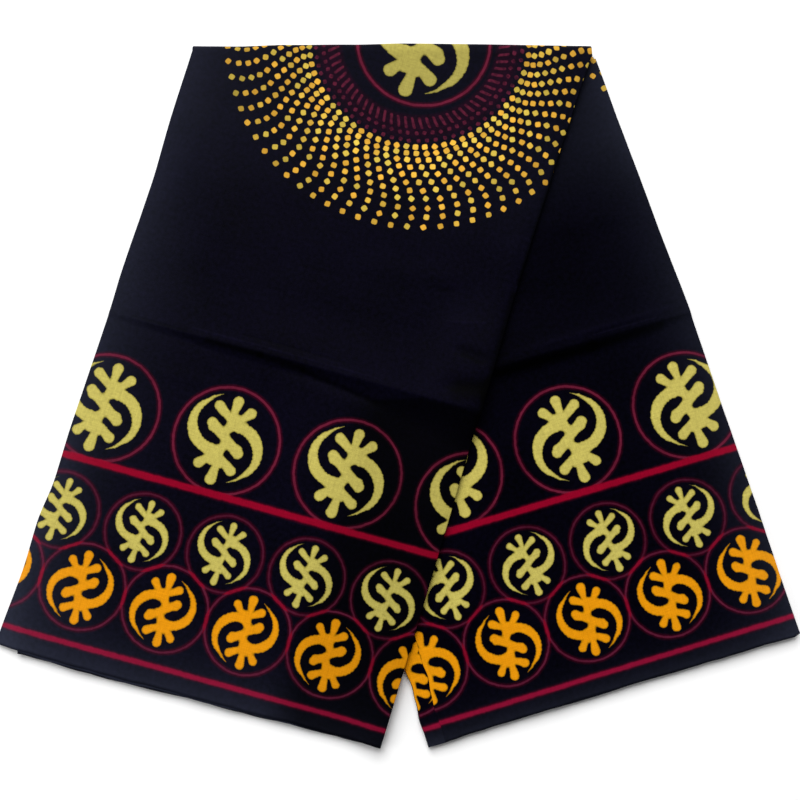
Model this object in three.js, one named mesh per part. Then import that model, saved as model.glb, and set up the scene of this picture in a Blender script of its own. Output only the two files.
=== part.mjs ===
// A six-yard length of printed cotton, folded down to one narrow strip of sixteen layers and
// laid on a table with the strip turned back once on a slanted line. The front half lies on
// top and points down to the left, and the back half runs out from under it to the right.
// Millimetres, +Z up, +Y towards the turned fold. Run with the npm package three.

import * as THREE from "three";

// The whole cloth, and the strip that it folds down to
const CLOTH_LENGTH = 5486; // six yards
const CLOTH_WIDTH = 1219; // 48 inches from selvage to selvage
const STRIP_LAYERS = 16;
const STRIP_WIDTH = CLOTH_LENGTH / STRIP_LAYERS;
const HALF_WIDTH = CLOTH_WIDTH / 2; // turned fold to selvage, along the strip
const QUARTER_WIDTH = CLOTH_WIDTH / 4; // packing crease to selvage

// Heights through one half of the folded strip
const WALL = 1.2; // the sheet on top
const SEAM_GAP = 0.3;
const HIDDEN_STACK = 5.6; // the fifteen layers under it
const HALF_STACK = HIDDEN_STACK + SEAM_GAP + WALL;
const UPPER_BASE = HALF_STACK + SEAM_GAP; // underside of the front half, on top of the back half
const NOSE_RADIUS = (UPPER_BASE + HALF_STACK) / 2; // outside of the turned fold
const NOSE_END = -60; // degrees below level at which the outer sheet reaches the table
const NOSE_STEPS = 7;
const FOLD_GAP = 0.6; // between the hidden layers and the sheet, round the fold

// Each half of the strip hangs from the middle of the turned fold. swing is how far it points
// away from straight down, skew is how far its crease and selvage are off square, slip is how
// far the layers slid, and reach is its length from the fold's start to the selvage. Its grid
// has columns across the strip, and upperRows above the crease and lowerRows below it.
const DEGREE = Math.PI / 180;
const FRONT = {
  side: -1,
  swing: 17.0 * DEGREE,
  skew: 1.75 * DEGREE,
  slip: 0,
  columns: 15,
  upperRows: 7,
  lowerRows: 8,
  turned: true, // its top sheet goes on round the turned fold
};
const BACK = {
  side: 1,
  swing: 18.4 * DEGREE,
  skew: 2.15 * DEGREE,
  slip: 5.5,
  columns: 10,
  upperRows: 5,
  lowerRows: 6,
  turned: false,
};
for (const half of [FRONT, BACK]) half.reach = HALF_WIDTH - NOSE_RADIUS + half.slip;

// How far the top sheet's side edges stray outwards from a straight strip. v is the distance
// from the selvage in this table and in the next ones.
FRONT.edge = [
  { v: 0, left: 0.5, right: 0 },
  { v: 90, left: -1, right: 0 },
  { v: 420, left: -2, right: -1 },
  { v: 560, left: 3, right: 0.5 },
  { v: 660, left: 3, right: 3 },
];
BACK.edge = [
  { v: 0, left: -5, right: 4.5 },
  { v: 45, left: -10, right: 5 },
  { v: 110, left: -12, right: 5 },
  { v: 200, left: -6, right: 6 },
  { v: 305, left: -2.5, right: 8.5 },
  { v: 400, left: -2.5, right: 5.8 },
  { v: 510, left: -1, right: 4.5 },
  { v: 570, left: 2, right: 3.5 },
  { v: 660, left: 3.5, right: 3.5 },
];

// The packing crease across each half is a ridge: a long slope on the fold's side and a short
// one on the selvage's side. Its height runs from the strip's left edge (at 0) to its right (at 1).
const RIDGE_RISE = 58;
const RIDGE_FALL = 24;
FRONT.crest = [
  { at: 0, height: 2.0 },
  { at: 0.35, height: 4.2 },
  { at: 0.8, height: 7.2 },
  { at: 1, height: 6.4 },
];
BACK.crest = [
  { at: 0, height: 0 },
  { at: 0.31, height: 0 },
  { at: 0.44, height: 4.8 },
  { at: 0.6, height: 6.0 },
  { at: 1, height: 2.0 },
];

// Where the front half comes down off the back half's left edge
const LEDGE = 12; // stays level this far past the edge
const RAMP = 62; // and reaches the table over this length
// and where it rides over the back half's ridge
const HUMP = { height: 7.2, radius: 80 };

// How far the hidden layers reach past the sheet on top (negative: short of it)
FRONT.layers = [
  { v: 0, left: -14, right: -2 },
  { v: 60, left: -9, right: -2 },
  { v: 160, left: -2, right: -2 },
];
BACK.layers = [
  { v: 0, left: 3, right: -3 },
  { v: 45, left: 8, right: -2 },
  { v: 110, left: 10, right: -2 },
  { v: 200, left: 1, right: -2 },
  { v: 305, left: -2, right: -2 },
];
FRONT.selvageReach = 4;
BACK.selvageReach = -2;

// Section through the edge of the hidden layers, from the underside (level 0) to the top (1)
const LEAF_EDGE = [
  { level: 0.1, out: 1.0 },
  { level: 0.24, out: 1.5 },
  { level: 0.36, out: 0.3 },
  { level: 0.5, out: 1.3 },
  { level: 0.62, out: 0.2 },
  { level: 0.78, out: 1.4 },
  { level: 0.92, out: 0.9 },
];
const EDGE_INSET = 1.5; // the flat faces stop this far inside the outline

// Grid rows over the ridge, by their distance from its crest
const CREASE_ROWS = [-RIDGE_RISE, -34, -16, -6, 0, 6, 13, RIDGE_FALL];

const CLOTH_COLOUR = { top: 0x14101f, reverse: 0x15111f, layers: 0x201c33 };

const smooth = (t) => {
  const c = Math.min(1, Math.max(0, t));
  return c * c * (3 - 2 * c);
};
const mix = (a, b, t) => a + (b - a) * t;

// Value of one column of a table whose rows are sorted on another column
function lookUp(table, key, column, x) {
  const next = table.findIndex((row) => row[key] >= x);
  if (next === 0) return table[0][column];
  if (next < 0) return table.at(-1)[column];
  const [low, high] = [table[next - 1], table[next]];
  return mix(low[column], high[column], smooth((x - low[key]) / (high[key] - low[key])));
}

// Distance across the strip from its centre line. a runs from the left edge, at 0, to the right, at 1.
function across(half, a, s) {
  const stray = (column) => lookUp(half.edge, "v", column, half.reach - s);
  return (a - 0.5) * STRIP_WIDTH + mix(-stray("left"), stray("right"), a);
}

// Distance down the strip from the fold's centre to the fold line, the crease and the selvage
const squareOff = (half, a) => (a - 0.5) * STRIP_WIDTH * half.side;
const foldAt = (half, a) => {
  const slant = half.side * Math.tan(half.swing);
  const straight = squareOff(half, a) * Math.tan(half.swing);
  return across(half, a, across(half, a, straight) * slant) * slant;
};
const creaseAt = (half, a) => half.reach - QUARTER_WIDTH + squareOff(half, a) * Math.tan(half.skew);
const selvageAt = (half, a) => half.reach + squareOff(half, a) * Math.tan(half.skew);

// Plan position of a point at s down the strip
function place(half, a, s) {
  const x = across(half, a, s);
  const [c, n] = [Math.cos(half.swing), Math.sin(half.swing)];
  return new THREE.Vector2(x * c + half.side * s * n, half.side * x * n - s * c);
}

// And the other way: a and s of a plan position, on the straight strip
function stripPlace(half, p) {
  const [c, n] = [Math.cos(half.swing), Math.sin(half.swing)];
  const x = p.x * c + half.side * p.y * n;
  return { a: x / STRIP_WIDTH + 0.5, s: half.side * p.x * n - p.y * c };
}

// Height that the crease adds at a plan position
function ridge(half, p) {
  const { a, s } = stripPlace(half, p);
  const off = s - creaseAt(half, a);
  if (off < -RIDGE_RISE || off > RIDGE_FALL) return 0;
  const slope = off < 0 ? (1 + off / RIDGE_RISE) ** 1.7 : (1 - off / RIDGE_FALL) ** 1.8;
  return lookUp(half.crest, "at", "height", a) * slope;
}

// The point where the front half's right edge crosses the back half's crest
function crossing() {
  const top = place(FRONT, 1, creaseAt(FRONT, 1));
  const start = place(FRONT, 1, foldAt(FRONT, 1));
  for (let t = 0; t <= 1; t += 0.002) {
    const p = start.clone().lerp(top, t);
    const { a, s } = stripPlace(BACK, p);
    if (s >= creaseAt(BACK, a)) return p;
  }
  return top;
}
const HUMP_CENTRE = crossing();

// Height of a half's underside at a plan position
function baseAt(half, p) {
  if (half === BACK) return 0;
  const outside = -stripPlace(BACK, p).a * STRIP_WIDTH;
  const away = Math.min(1, p.distanceTo(HUMP_CENTRE) / HUMP.radius);
  const hump = HUMP.height * Math.cos((away * Math.PI) / 2) ** 2;
  return (UPPER_BASE + hump) * (1 - smooth((outside - LEDGE) / RAMP));
}

// Height of the hidden layers' upper face at a plan position
const stackTop = (half, p) => baseAt(half, p) + HIDDEN_STACK + ridge(half, p);

// Rows of a half, each a function from a to s. They run from the fold to the selvage.
function rowsOf(half, selvageReach) {
  const rows = [];
  for (let i = 0; i < half.upperRows; i++) {
    rows.push((a) => mix(foldAt(half, a), creaseAt(half, a) - RIDGE_RISE, i / half.upperRows));
  }
  for (const off of CREASE_ROWS) rows.push((a) => creaseAt(half, a) + off);
  for (let i = 1; i <= half.lowerRows; i++) {
    const end = (a) => selvageAt(half, a) + selvageReach;
    rows.push((a) => mix(creaseAt(half, a) + RIDGE_FALL, end(a), i / half.lowerRows));
  }
  return rows;
}

// Closed solid from two like grids of points, with rings between their edges
function closeGrids(top, bottom, rings) {
  const [rows, columns] = [top.length, top[0].length];
  const points = [...bottom.flat(), ...rings.flat(), ...top.flat()];
  const faces = [];
  // Both faces of a cell are split between the same two corners, so that stacked grids don't cross.
  const quad = (a, b, c, d) => faces.push(a, b, c, a, c, d);
  const turnedQuad = (a, b, c, d) => faces.push(a, c, b, a, d, c);
  const topStart = points.length - rows * columns;
  for (let i = 0; i + 1 < rows; i++) {
    for (let j = 0; j + 1 < columns; j++) {
      const a = i * columns + j;
      const [b, c, d] = [a + 1, a + columns + 1, a + columns];
      quad(a, b, c, d);
      turnedQuad(topStart + a, topStart + b, topStart + c, topStart + d);
    }
  }
  const loop = edgeLoop(rows, columns);
  const level = (k) => {
    if (k === 0) return loop.map(([i, j]) => i * columns + j);
    if (k === rings.length + 1) return loop.map(([i, j]) => topStart + i * columns + j);
    return loop.map((_, n) => rows * columns + (k - 1) * loop.length + n);
  };
  for (let k = 0; k <= rings.length; k++) {
    const [low, high] = [level(k), level(k + 1)];
    loop.forEach((_, n) => {
      const next = (n + 1) % loop.length;
      quad(low[n], high[n], high[next], low[next]);
    });
  }
  const geometry = new THREE.BufferGeometry().setFromPoints(points);
  geometry.setIndex(faces);
  geometry.computeVertexNormals();
  return geometry;
}

// Grid places round the edge: along the first row, down the right, back and up the left
function edgeLoop(rows, columns) {
  const loop = [];
  for (let j = 0; j < columns - 1; j++) loop.push([0, j]);
  for (let i = 0; i < rows - 1; i++) loop.push([i, columns - 1]);
  for (let j = columns - 1; j > 0; j--) loop.push([rows - 1, j]);
  for (let i = rows - 1; i > 0; i--) loop.push([i, 0]);
  return loop;
}

const raise = (p, z) => new THREE.Vector3(p.x, p.y, z);

// How far the hidden layers fill the turned fold at a height
function noseDepth(z) {
  const inside = NOSE_RADIUS - WALL - FOLD_GAP;
  return Math.sqrt(Math.max(0, inside ** 2 - (z - NOSE_RADIUS) ** 2));
}

// The hidden layers of one half, with the leaves' section round the edge
function hiddenLayers(half) {
  const rows = rowsOf(half, half.selvageReach - EDGE_INSET);
  const last = half.columns;
  const plan = rows.map((row) =>
    Array.from({ length: last + 1 }, (_, j) => {
      const v = half.reach - row(j / last);
      // Inner columns lie under the sheet's own, so that both bend along the same lines.
      let a = j / last;
      if (j === 0) a = (EDGE_INSET - lookUp(half.layers, "v", "left", v)) / STRIP_WIDTH;
      if (j === last) a = 1 + (lookUp(half.layers, "v", "right", v) - EDGE_INSET) / STRIP_WIDTH;
      return place(half, a, row(a));
    }),
  );
  const bottom = plan.map((row) => row.map((p) => raise(p, baseAt(half, p))));
  const top = plan.map((row) => row.map((p) => raise(p, stackTop(half, p))));
  const rings = LEAF_EDGE.map(({ level, out }) =>
    edgeLoop(plan.length, last + 1).map(([i, j]) => {
      const way = outward(half, i, j, plan.length, last + 1);
      const p = plan[i][j].clone().addScaledVector(way.side, out);
      const z = mix(baseAt(half, p), stackTop(half, p), level);
      p.y += way.fold * noseDepth(z);
      return raise(p, z);
    }),
  );
  return closeGrids(top, bottom, rings);
}

// Which way the edge at a grid place faces, and fold: 1 where it is the turned fold's end
function outward(half, i, j, rows, columns) {
  const side = new THREE.Vector2();
  const [c, n] = [Math.cos(half.swing), half.side * Math.sin(half.swing)];
  const right = new THREE.Vector2(c, n);
  const down = new THREE.Vector2(n, -c);
  if (j === 0) side.sub(right);
  if (j === columns - 1) side.add(right);
  if (i === rows - 1) side.add(down);
  if (i === 0) side.y = 0;
  return { side, fold: i === 0 ? 1 : 0 };
}

// The sheet on top of one half. A turned one starts at the table, below the turned fold.
function topSheet(half) {
  const columns = Array.from({ length: half.columns + 1 }, (_, j) => j / half.columns);
  const outer = [];
  const inner = [];
  for (let k = 0; half.turned && k < NOSE_STEPS; k++) {
    const turn = mix(NOSE_END, 90, k / NOSE_STEPS) * DEGREE;
    outer.push(noseLine(half, columns, NOSE_RADIUS, turn));
    inner.push(noseLine(half, columns, NOSE_RADIUS - WALL, turn));
  }
  for (const row of rowsOf(half, 0)) {
    const line = columns.map((a) => place(half, a, row(a)));
    inner.push(line.map((p) => raise(p, stackTop(half, p) + SEAM_GAP)));
    outer.push(line.map((p) => raise(p, stackTop(half, p) + SEAM_GAP + WALL)));
  }
  return closeGrids(outer, inner, []);
}

// One line of points along the turned fold, at an angle above level
function noseLine(half, columns, radius, turn) {
  return columns.map((a) => {
    const p = place(half, a, foldAt(half, a));
    p.y += radius * Math.cos(turn);
    return raise(p, NOSE_RADIUS + radius * Math.sin(turn));
  });
}

function piece(name, colour, geometry) {
  const material = new THREE.MeshStandardMaterial({ color: colour, roughness: 0.85, metalness: 0 });
  const mesh = new THREE.Mesh(geometry, material);
  mesh.name = name;
  return mesh;
}

function foldedCloth() {
  const cloth = new THREE.Group();
  cloth.add(
    piece("back_layers", CLOTH_COLOUR.layers, hiddenLayers(BACK)),
    piece("back_panel", CLOTH_COLOUR.reverse, topSheet(BACK)),
    piece("front_layers", CLOTH_COLOUR.layers, hiddenLayers(FRONT)),
    piece("front_panel", CLOTH_COLOUR.top, topSheet(FRONT)),
  );
  return cloth;
}

// The origin is under the middle of the whole cloth's box, on the table.
function centred(group) {
  const box = new THREE.Box3().setFromObject(group);
  const middle = box.getCenter(new THREE.Vector3());
  for (const mesh of group.children) mesh.position.set(-middle.x, -middle.y, -box.min.z);
  return group;
}

export default centred(foldedCloth());
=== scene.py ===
"""Looks of a folded length of printed cotton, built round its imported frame.

The cloth is folded down to one strip of sixteen layers, and the strip is turned back once on a
slanted line. Three pieces show: the sheet on top of the front half, which goes on round the
turned fold, the sheet on top of the back half, and the hidden layers, one solid whose edges are
modelled leaf by leaf. All shapes are worked out in millimetres and turned into metres at the end.
"""

import logging
import math
from dataclasses import dataclass, replace
from enum import Enum
from functools import cache, reduce
from typing import ClassVar

import bpy
import numpy as np
from mathutils import Euler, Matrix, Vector


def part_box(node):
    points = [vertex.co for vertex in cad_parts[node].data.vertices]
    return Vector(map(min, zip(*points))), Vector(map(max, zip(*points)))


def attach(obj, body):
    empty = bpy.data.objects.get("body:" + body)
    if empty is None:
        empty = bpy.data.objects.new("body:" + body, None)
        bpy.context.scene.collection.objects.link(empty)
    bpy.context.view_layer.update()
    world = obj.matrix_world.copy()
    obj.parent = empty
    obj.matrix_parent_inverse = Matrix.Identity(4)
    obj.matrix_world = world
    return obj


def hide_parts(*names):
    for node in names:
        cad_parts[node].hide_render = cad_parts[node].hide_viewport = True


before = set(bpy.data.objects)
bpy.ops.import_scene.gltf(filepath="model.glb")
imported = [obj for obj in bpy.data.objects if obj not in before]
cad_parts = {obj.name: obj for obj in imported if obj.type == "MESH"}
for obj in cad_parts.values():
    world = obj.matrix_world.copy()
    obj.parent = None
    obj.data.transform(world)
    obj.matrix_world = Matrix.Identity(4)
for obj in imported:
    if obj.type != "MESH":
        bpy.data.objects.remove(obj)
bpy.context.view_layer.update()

LOG = logging.getLogger("folded_cloth")
MM = 0.001
PRINT_MAP = "print"

Array = np.ndarray
Socket = bpy.types.NodeSocket
Number = Socket | float
Tree = bpy.types.NodeTree
Piece = bpy.types.Object
Pair = tuple[float, float]
Colour = tuple[float, float, float]


# ----- The folded strip: the same sizes and rules as the frame, for whole arrays of points -----

CLOTH_LENGTH = 5486.0
CLOTH_WIDTH = 1219.0
STRIP_LAYERS = 16
STRIP_WIDTH = CLOTH_LENGTH / STRIP_LAYERS
HALF_WIDTH = CLOTH_WIDTH / 2
QUARTER_WIDTH = CLOTH_WIDTH / 4

HALF_STACK = 7.1  # hidden layers, gap and sheet
UPPER_BASE = 7.4  # underside of the front half, on top of the back half
NOSE_RADIUS = (UPPER_BASE + HALF_STACK) / 2

RIDGE_RISE = 58.0
RIDGE_FALL = 36.0  # the widest fall of a crease's lower side
SHOULDER = 16.0
LEDGE = 12.0
RAMP = 62.0
HUMP_HEIGHT = 7.2
HUMP_RADIUS = 80.0


@dataclass(frozen=True)
class EdgeRow:
    """What happens at the strip's two side edges, v millimetres from the selvage."""

    v: float
    left: float
    right: float


@dataclass(frozen=True)
class CrestRow:
    """Height of the packing crease at one place across the strip, from 0 at left to 1.

    fall is how far its steep lower side reaches.
    """

    at: float
    height: float
    fall: float


@dataclass(frozen=True)
class EndRow:
    """Where the cloth ends at one place across the strip, from 0 at left to 1.

    sheet is how far the top sheet stops short of the straight selvage, or reaches past it where
    negative, and layers how far the hidden layers reach past it.
    """

    at: float
    sheet: float
    layers: float


@dataclass(frozen=True)
class FoldRow:
    """How far the turned fold bulges out at one place along it, from 0 at left to 1."""

    at: float
    out: float


def smooth(t: Array) -> Array:
    """Smooth step from 0 to 1."""
    c = np.clip(t, 0.0, 1.0)
    return c * c * (3.0 - 2.0 * c)


def mix(a: Array, b: Array, t: Array) -> Array:
    """Straight blend from a, at t = 0, to b, at t = 1."""
    return a + (b - a) * t


def table(kind: type, *rows: tuple) -> tuple:
    """A table's rows from their plain values."""
    return tuple(kind(*row) for row in rows)


def look_up(rows: tuple, key: str, column: str, x: Array) -> Array:
    """Value of one column of a table, blended between its rows.

    Args:
        rows: the table, sorted on its key column.
        key: name of the key column.
        column: name of the column wanted.
        x: places along the key column.

    Returns:
        The column's values at x.
    """
    keys = np.array([getattr(row, key) for row in rows])
    values = np.array([getattr(row, column) for row in rows])
    i = np.clip(np.searchsorted(keys, x), 1, len(keys) - 1)
    return mix(values[i - 1], values[i], smooth((x - keys[i - 1]) / (keys[i] - keys[i - 1])))


@dataclass(frozen=True)
class Half:
    """One half of the strip, from the turned fold to the selvage.

    side is -1 for a half that points down to the left, and swing how far it points away from
    straight down. skew is how far its crease and selvage are off square, slip how far the
    layers slid. edge is how far the top sheet strays from a straight strip, and layers how far
    the hidden layers reach past it. print_edge is how far left of a straight strip the print's
    own corner lies. shoulders are how far the face sinks at its left and right folds, and corner
    how much its outer selvage corner is cut short.
    """

    side: int
    swing: float
    skew: float
    slip: float
    edge: tuple[EdgeRow, ...]
    crest: tuple[CrestRow, ...]
    layers: tuple[EdgeRow, ...]
    ends: tuple[EndRow, ...]
    print_edge: float
    shoulders: Pair
    corner: float = 0.0
    corner_width: float = 0.022  # share of the strip's width that the cut corner takes

    @property
    def reach(self) -> float:
        """Length from the fold's start to the selvage."""
        return HALF_WIDTH - NOSE_RADIUS + self.slip

    @property
    def turn(self) -> float:
        """Angle of the selvage in plan, in radians."""
        return math.radians(self.side * (self.swing - self.skew))

    def across(self, a: Array, s: Array) -> Array:
        """Distance from the strip's centre line.

        Args:
            a: places across the strip, from 0 at left to 1.
            s: distances down the strip from the fold's middle.

        Returns:
            Distances to the right of the centre line.
        """
        left = look_up(self.edge, "v", "left", self.reach - s)
        right = look_up(self.edge, "v", "right", self.reach - s)
        return (a - 0.5) * STRIP_WIDTH + mix(-left, right, a)

    def square_off(self, a: Array) -> Array:
        """Distance from the centre line, counted towards the half's outer side."""
        return (a - 0.5) * STRIP_WIDTH * self.side

    def fold_at(self, a: Array) -> Array:
        """How far down the strip the turned fold lies.

        Args:
            a: places across the strip.

        Returns:
            Distances down the strip.
        """
        slant = self.side * math.tan(math.radians(self.swing))
        straight = self.square_off(a) * math.tan(math.radians(self.swing))
        return self.across(a, self.across(a, straight) * slant) * slant

    def crease_at(self, a: Array) -> Array:
        """How far down the strip the packing crease lies."""
        return self.selvage_at(a) - QUARTER_WIDTH

    def selvage_at(self, a: Array) -> Array:
        """How far down the strip the selvage lies."""
        return self.reach + self.square_off(a) * math.tan(math.radians(self.skew))

    def end_at(self, a: Array) -> Array:
        """How far down the strip the top sheet ends, with its corner cut short."""
        cut = self.corner * smooth((a - 1.0) / self.corner_width + 1.0)
        return self.selvage_at(a) - look_up(self.ends, "at", "sheet", a) - cut

    def layers_end_at(self, a: Array) -> Array:
        """How far down the strip the hidden layers end."""
        return self.selvage_at(a) + look_up(self.ends, "at", "layers", a)

    def shoulder(self, a: Array) -> Array:
        """How far the face sinks towards the folded sides.

        Args:
            a: places across the strip.

        Returns:
            Depths, growing with the square of the distance past where the shoulder starts.
        """
        left = np.clip(1.0 - a * STRIP_WIDTH / SHOULDER, 0.0, 1.0) ** 2
        right = np.clip(1.0 - (1.0 - a) * STRIP_WIDTH / SHOULDER, 0.0, 1.0) ** 2
        return self.shoulders[0] * left + self.shoulders[1] * right

    def place(self, a: Array, s: Array) -> tuple[Array, Array]:
        """Plan position of points on the strip."""
        return self.plan(self.across(a, s), s)

    def print_corner(self) -> tuple[Array, Array]:
        """Plan position of the print's left corner on the selvage."""
        return self.plan(np.array(-STRIP_WIDTH / 2 - self.print_edge), self.selvage_at(np.array(0.0)))

    def plan(self, x: Array, s: Array) -> tuple[Array, Array]:
        """Plan position of points x beside the strip's centre line and s down it."""
        c, n = math.cos(math.radians(self.swing)), math.sin(math.radians(self.swing))
        return x * c + self.side * s * n, self.side * x * n - s * c

    def strip_place(self, x: Array, y: Array) -> tuple[Array, Array]:
        """Where plan positions lie on the straight strip, the other way round.

        Args:
            x: plan positions to the right.
            y: plan positions towards the fold.

        Returns:
            Places across the strip and distances down it.
        """
        c, n = math.cos(math.radians(self.swing)), math.sin(math.radians(self.swing))
        a = (x * c + self.side * y * n) / STRIP_WIDTH + 0.5
        return a, self.side * x * n - y * c

    def cloth_place(self, x: Array, y: Array) -> tuple[Array, Array]:
        """Cloth coordinates of plan positions.

        Args:
            x: plan positions to the right.
            y: plan positions towards the fold.

        Returns:
            u, along the selvage from the print's left corner, and v, from the selvage.
        """
        x0, y0 = self.print_corner()
        c, n = math.cos(self.turn), math.sin(self.turn)
        return (x - x0) * c + (y - y0) * n, (y - y0) * c - (x - x0) * n


FRONT = Half(
    side=-1, swing=17.0, skew=1.75, slip=0.0, print_edge=0.5, shoulders=(0.5, 1.5),
    edge=table(
        EdgeRow,
        (0, 4.6, 0), (64, 2.5, 0), (103, 3.6, 0), (143, 0.8, 0),
        (190, 2.0, 0), (300, 1.7, -0.8), (340, 3.0, -1),
        (420, 2.4, -1), (480, 3.4, -0.5), (530, 2.9, 0.2),
        (600, 4.0, 1.5), (660, 4.0, 3),
    ),
    crest=table(
        CrestRow,
        (0, 0.9, 5.0), (0.14, 2.2, 6.0), (0.35, 4.8, 9.5),
        (0.55, 5.2, 10.5), (0.68, 5.8, 14.0), (0.8, 7.0, 26.0),
        (1, 6.4, 34.0),
    ),
    layers=table(EdgeRow, (0, -21, -1), (60, -12, -1), (160, -1.5, -1)),
    ends=table(
        EndRow,
        (0, -2.0, 3.9), (0.33, -2.5, 3.9), (0.41, -1.6, 2.9),
        (0.62, -1.3, 2.5), (0.8, -0.3, 0.6), (1, 0.2, -0.5),
    ),
)
BACK = Half(
    side=1, swing=18.4, skew=2.15, slip=5.5, print_edge=-5.0, shoulders=(0.6, 0.6), corner=2.0,
    edge=table(
        EdgeRow,
        (0, -20.2, 6.0), (20, -20.8, 6.2), (35, -19.9, 6.4),
        (50, -21.4, 6.6), (66, -23.6, 6.9), (80, -22.5, 7.1),
        (100, -23.6, 7.5), (112, -25.0, 7.8), (200, -6, 8.5),
        (305, -2.5, 9.9), (400, -2.5, 8.0), (510, -1, 6.5),
        (570, 2, 5.5), (660, 3.5, 5.4),
    ),
    crest=table(
        CrestRow,
        (0, 0, 14.0), (0.31, 0, 14.0), (0.44, 4.8, 14.0),
        (0.66, 6.0, 14.5), (0.86, 4.6, 13.0), (1, 1.6, 7.0),
    ),
    layers=table(
        EdgeRow,
        (0, 15.6, -3), (20, 15.9, -2), (35, 14.4, -2), (50, 15.2, -2),
        (66, 17.2, -2), (80, 15.9, -2), (100, 16.9, -2), (112, 18.2, -2),
        (200, 1, -2), (305, -1, -2),
    ),
    ends=table(
        EndRow,
        (0, 1.3, -1.5), (0.16, 2.3, -2.6), (0.6, 2.2, -2.8),
        (0.72, 1.4, -2.0), (0.91, 1.5, -2.1), (1, 0.4, -2.5),
    ),
)
FOLD_ROWS = table(
    FoldRow,
    (0, -1.1), (0.1, -1.1), (0.24, 1.1), (0.39, 2.0),
    (0.54, 3.7), (0.7, 3.6), (1, 2.8),
)


@dataclass(frozen=True)
class Wrinkle:
    """A soft ridge, or trough where height is negative, along a straight line on the cloth.

    Its ends are (u, v) places on the cloth, width is the distance over which it fades out, and
    lean makes one side steeper, from -1 to 1.
    """

    END_FADE: ClassVar[float] = 3.2  # it fades out over one part in this many at each end
    FALL_OFF: ClassVar[float] = 1.6  # power of its profile

    start: Pair
    end: Pair
    height: float
    width: float
    lean: float = 0.0

    def rise(self, u: Array, v: Array) -> Array:
        """Height that the wrinkle adds.

        Args:
            u: places on the cloth along the selvage.
            v: their distances from the selvage.

        Returns:
            Heights at these places.
        """
        along = np.array(self.end) - np.array(self.start)
        length = float(np.hypot(*along))
        du, dv = u - self.start[0], v - self.start[1]
        h = (du * along[0] + dv * along[1]) / length**2
        off = (dv * along[0] - du * along[1]) / length
        side = self.width * (1.0 + self.lean * np.sign(off))
        fade = smooth(h * self.END_FADE) * smooth((1.0 - h) * self.END_FADE)
        return self.height * fade * np.exp(-np.abs(off / side) ** self.FALL_OFF)


class Swell:
    """Slow unevenness of a cloth at rest: a few seeded waves in different directions."""

    STEEPNESS = 0.8  # power by which shorter waves are lower

    def __init__(self, seed: int, height: float, shortest: float, longest: float, waves: int = 9) -> None:
        """Draws the waves.

        Args:
            seed: seed of the draws.
            height: greatest height of one wave.
            shortest: shortest wave.
            longest: longest wave.
            waves: how many waves there are.
        """
        draw = np.random.default_rng(seed)
        length = np.geomspace(shortest, longest, waves)
        self.heading = draw.uniform(0.0, math.pi, waves)
        self.phase = draw.uniform(0.0, 2.0 * math.pi, waves)
        self.number = 2.0 * math.pi / length
        self.height = height * (length / longest) ** self.STEEPNESS

    def rise(self, u: Array, v: Array) -> Array:
        """Height of the waves.

        Args:
            u: places on the cloth along the selvage.
            v: their distances from the selvage.

        Returns:
            Heights at these places.
        """
        total = np.zeros(np.broadcast(u, v).shape)
        for heading, phase, number, height in zip(self.heading, self.phase, self.number, self.height):
            total = total + height * np.sin(
                number * (u * math.cos(heading) + v * math.sin(heading)) + phase
            )
        return total


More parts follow.
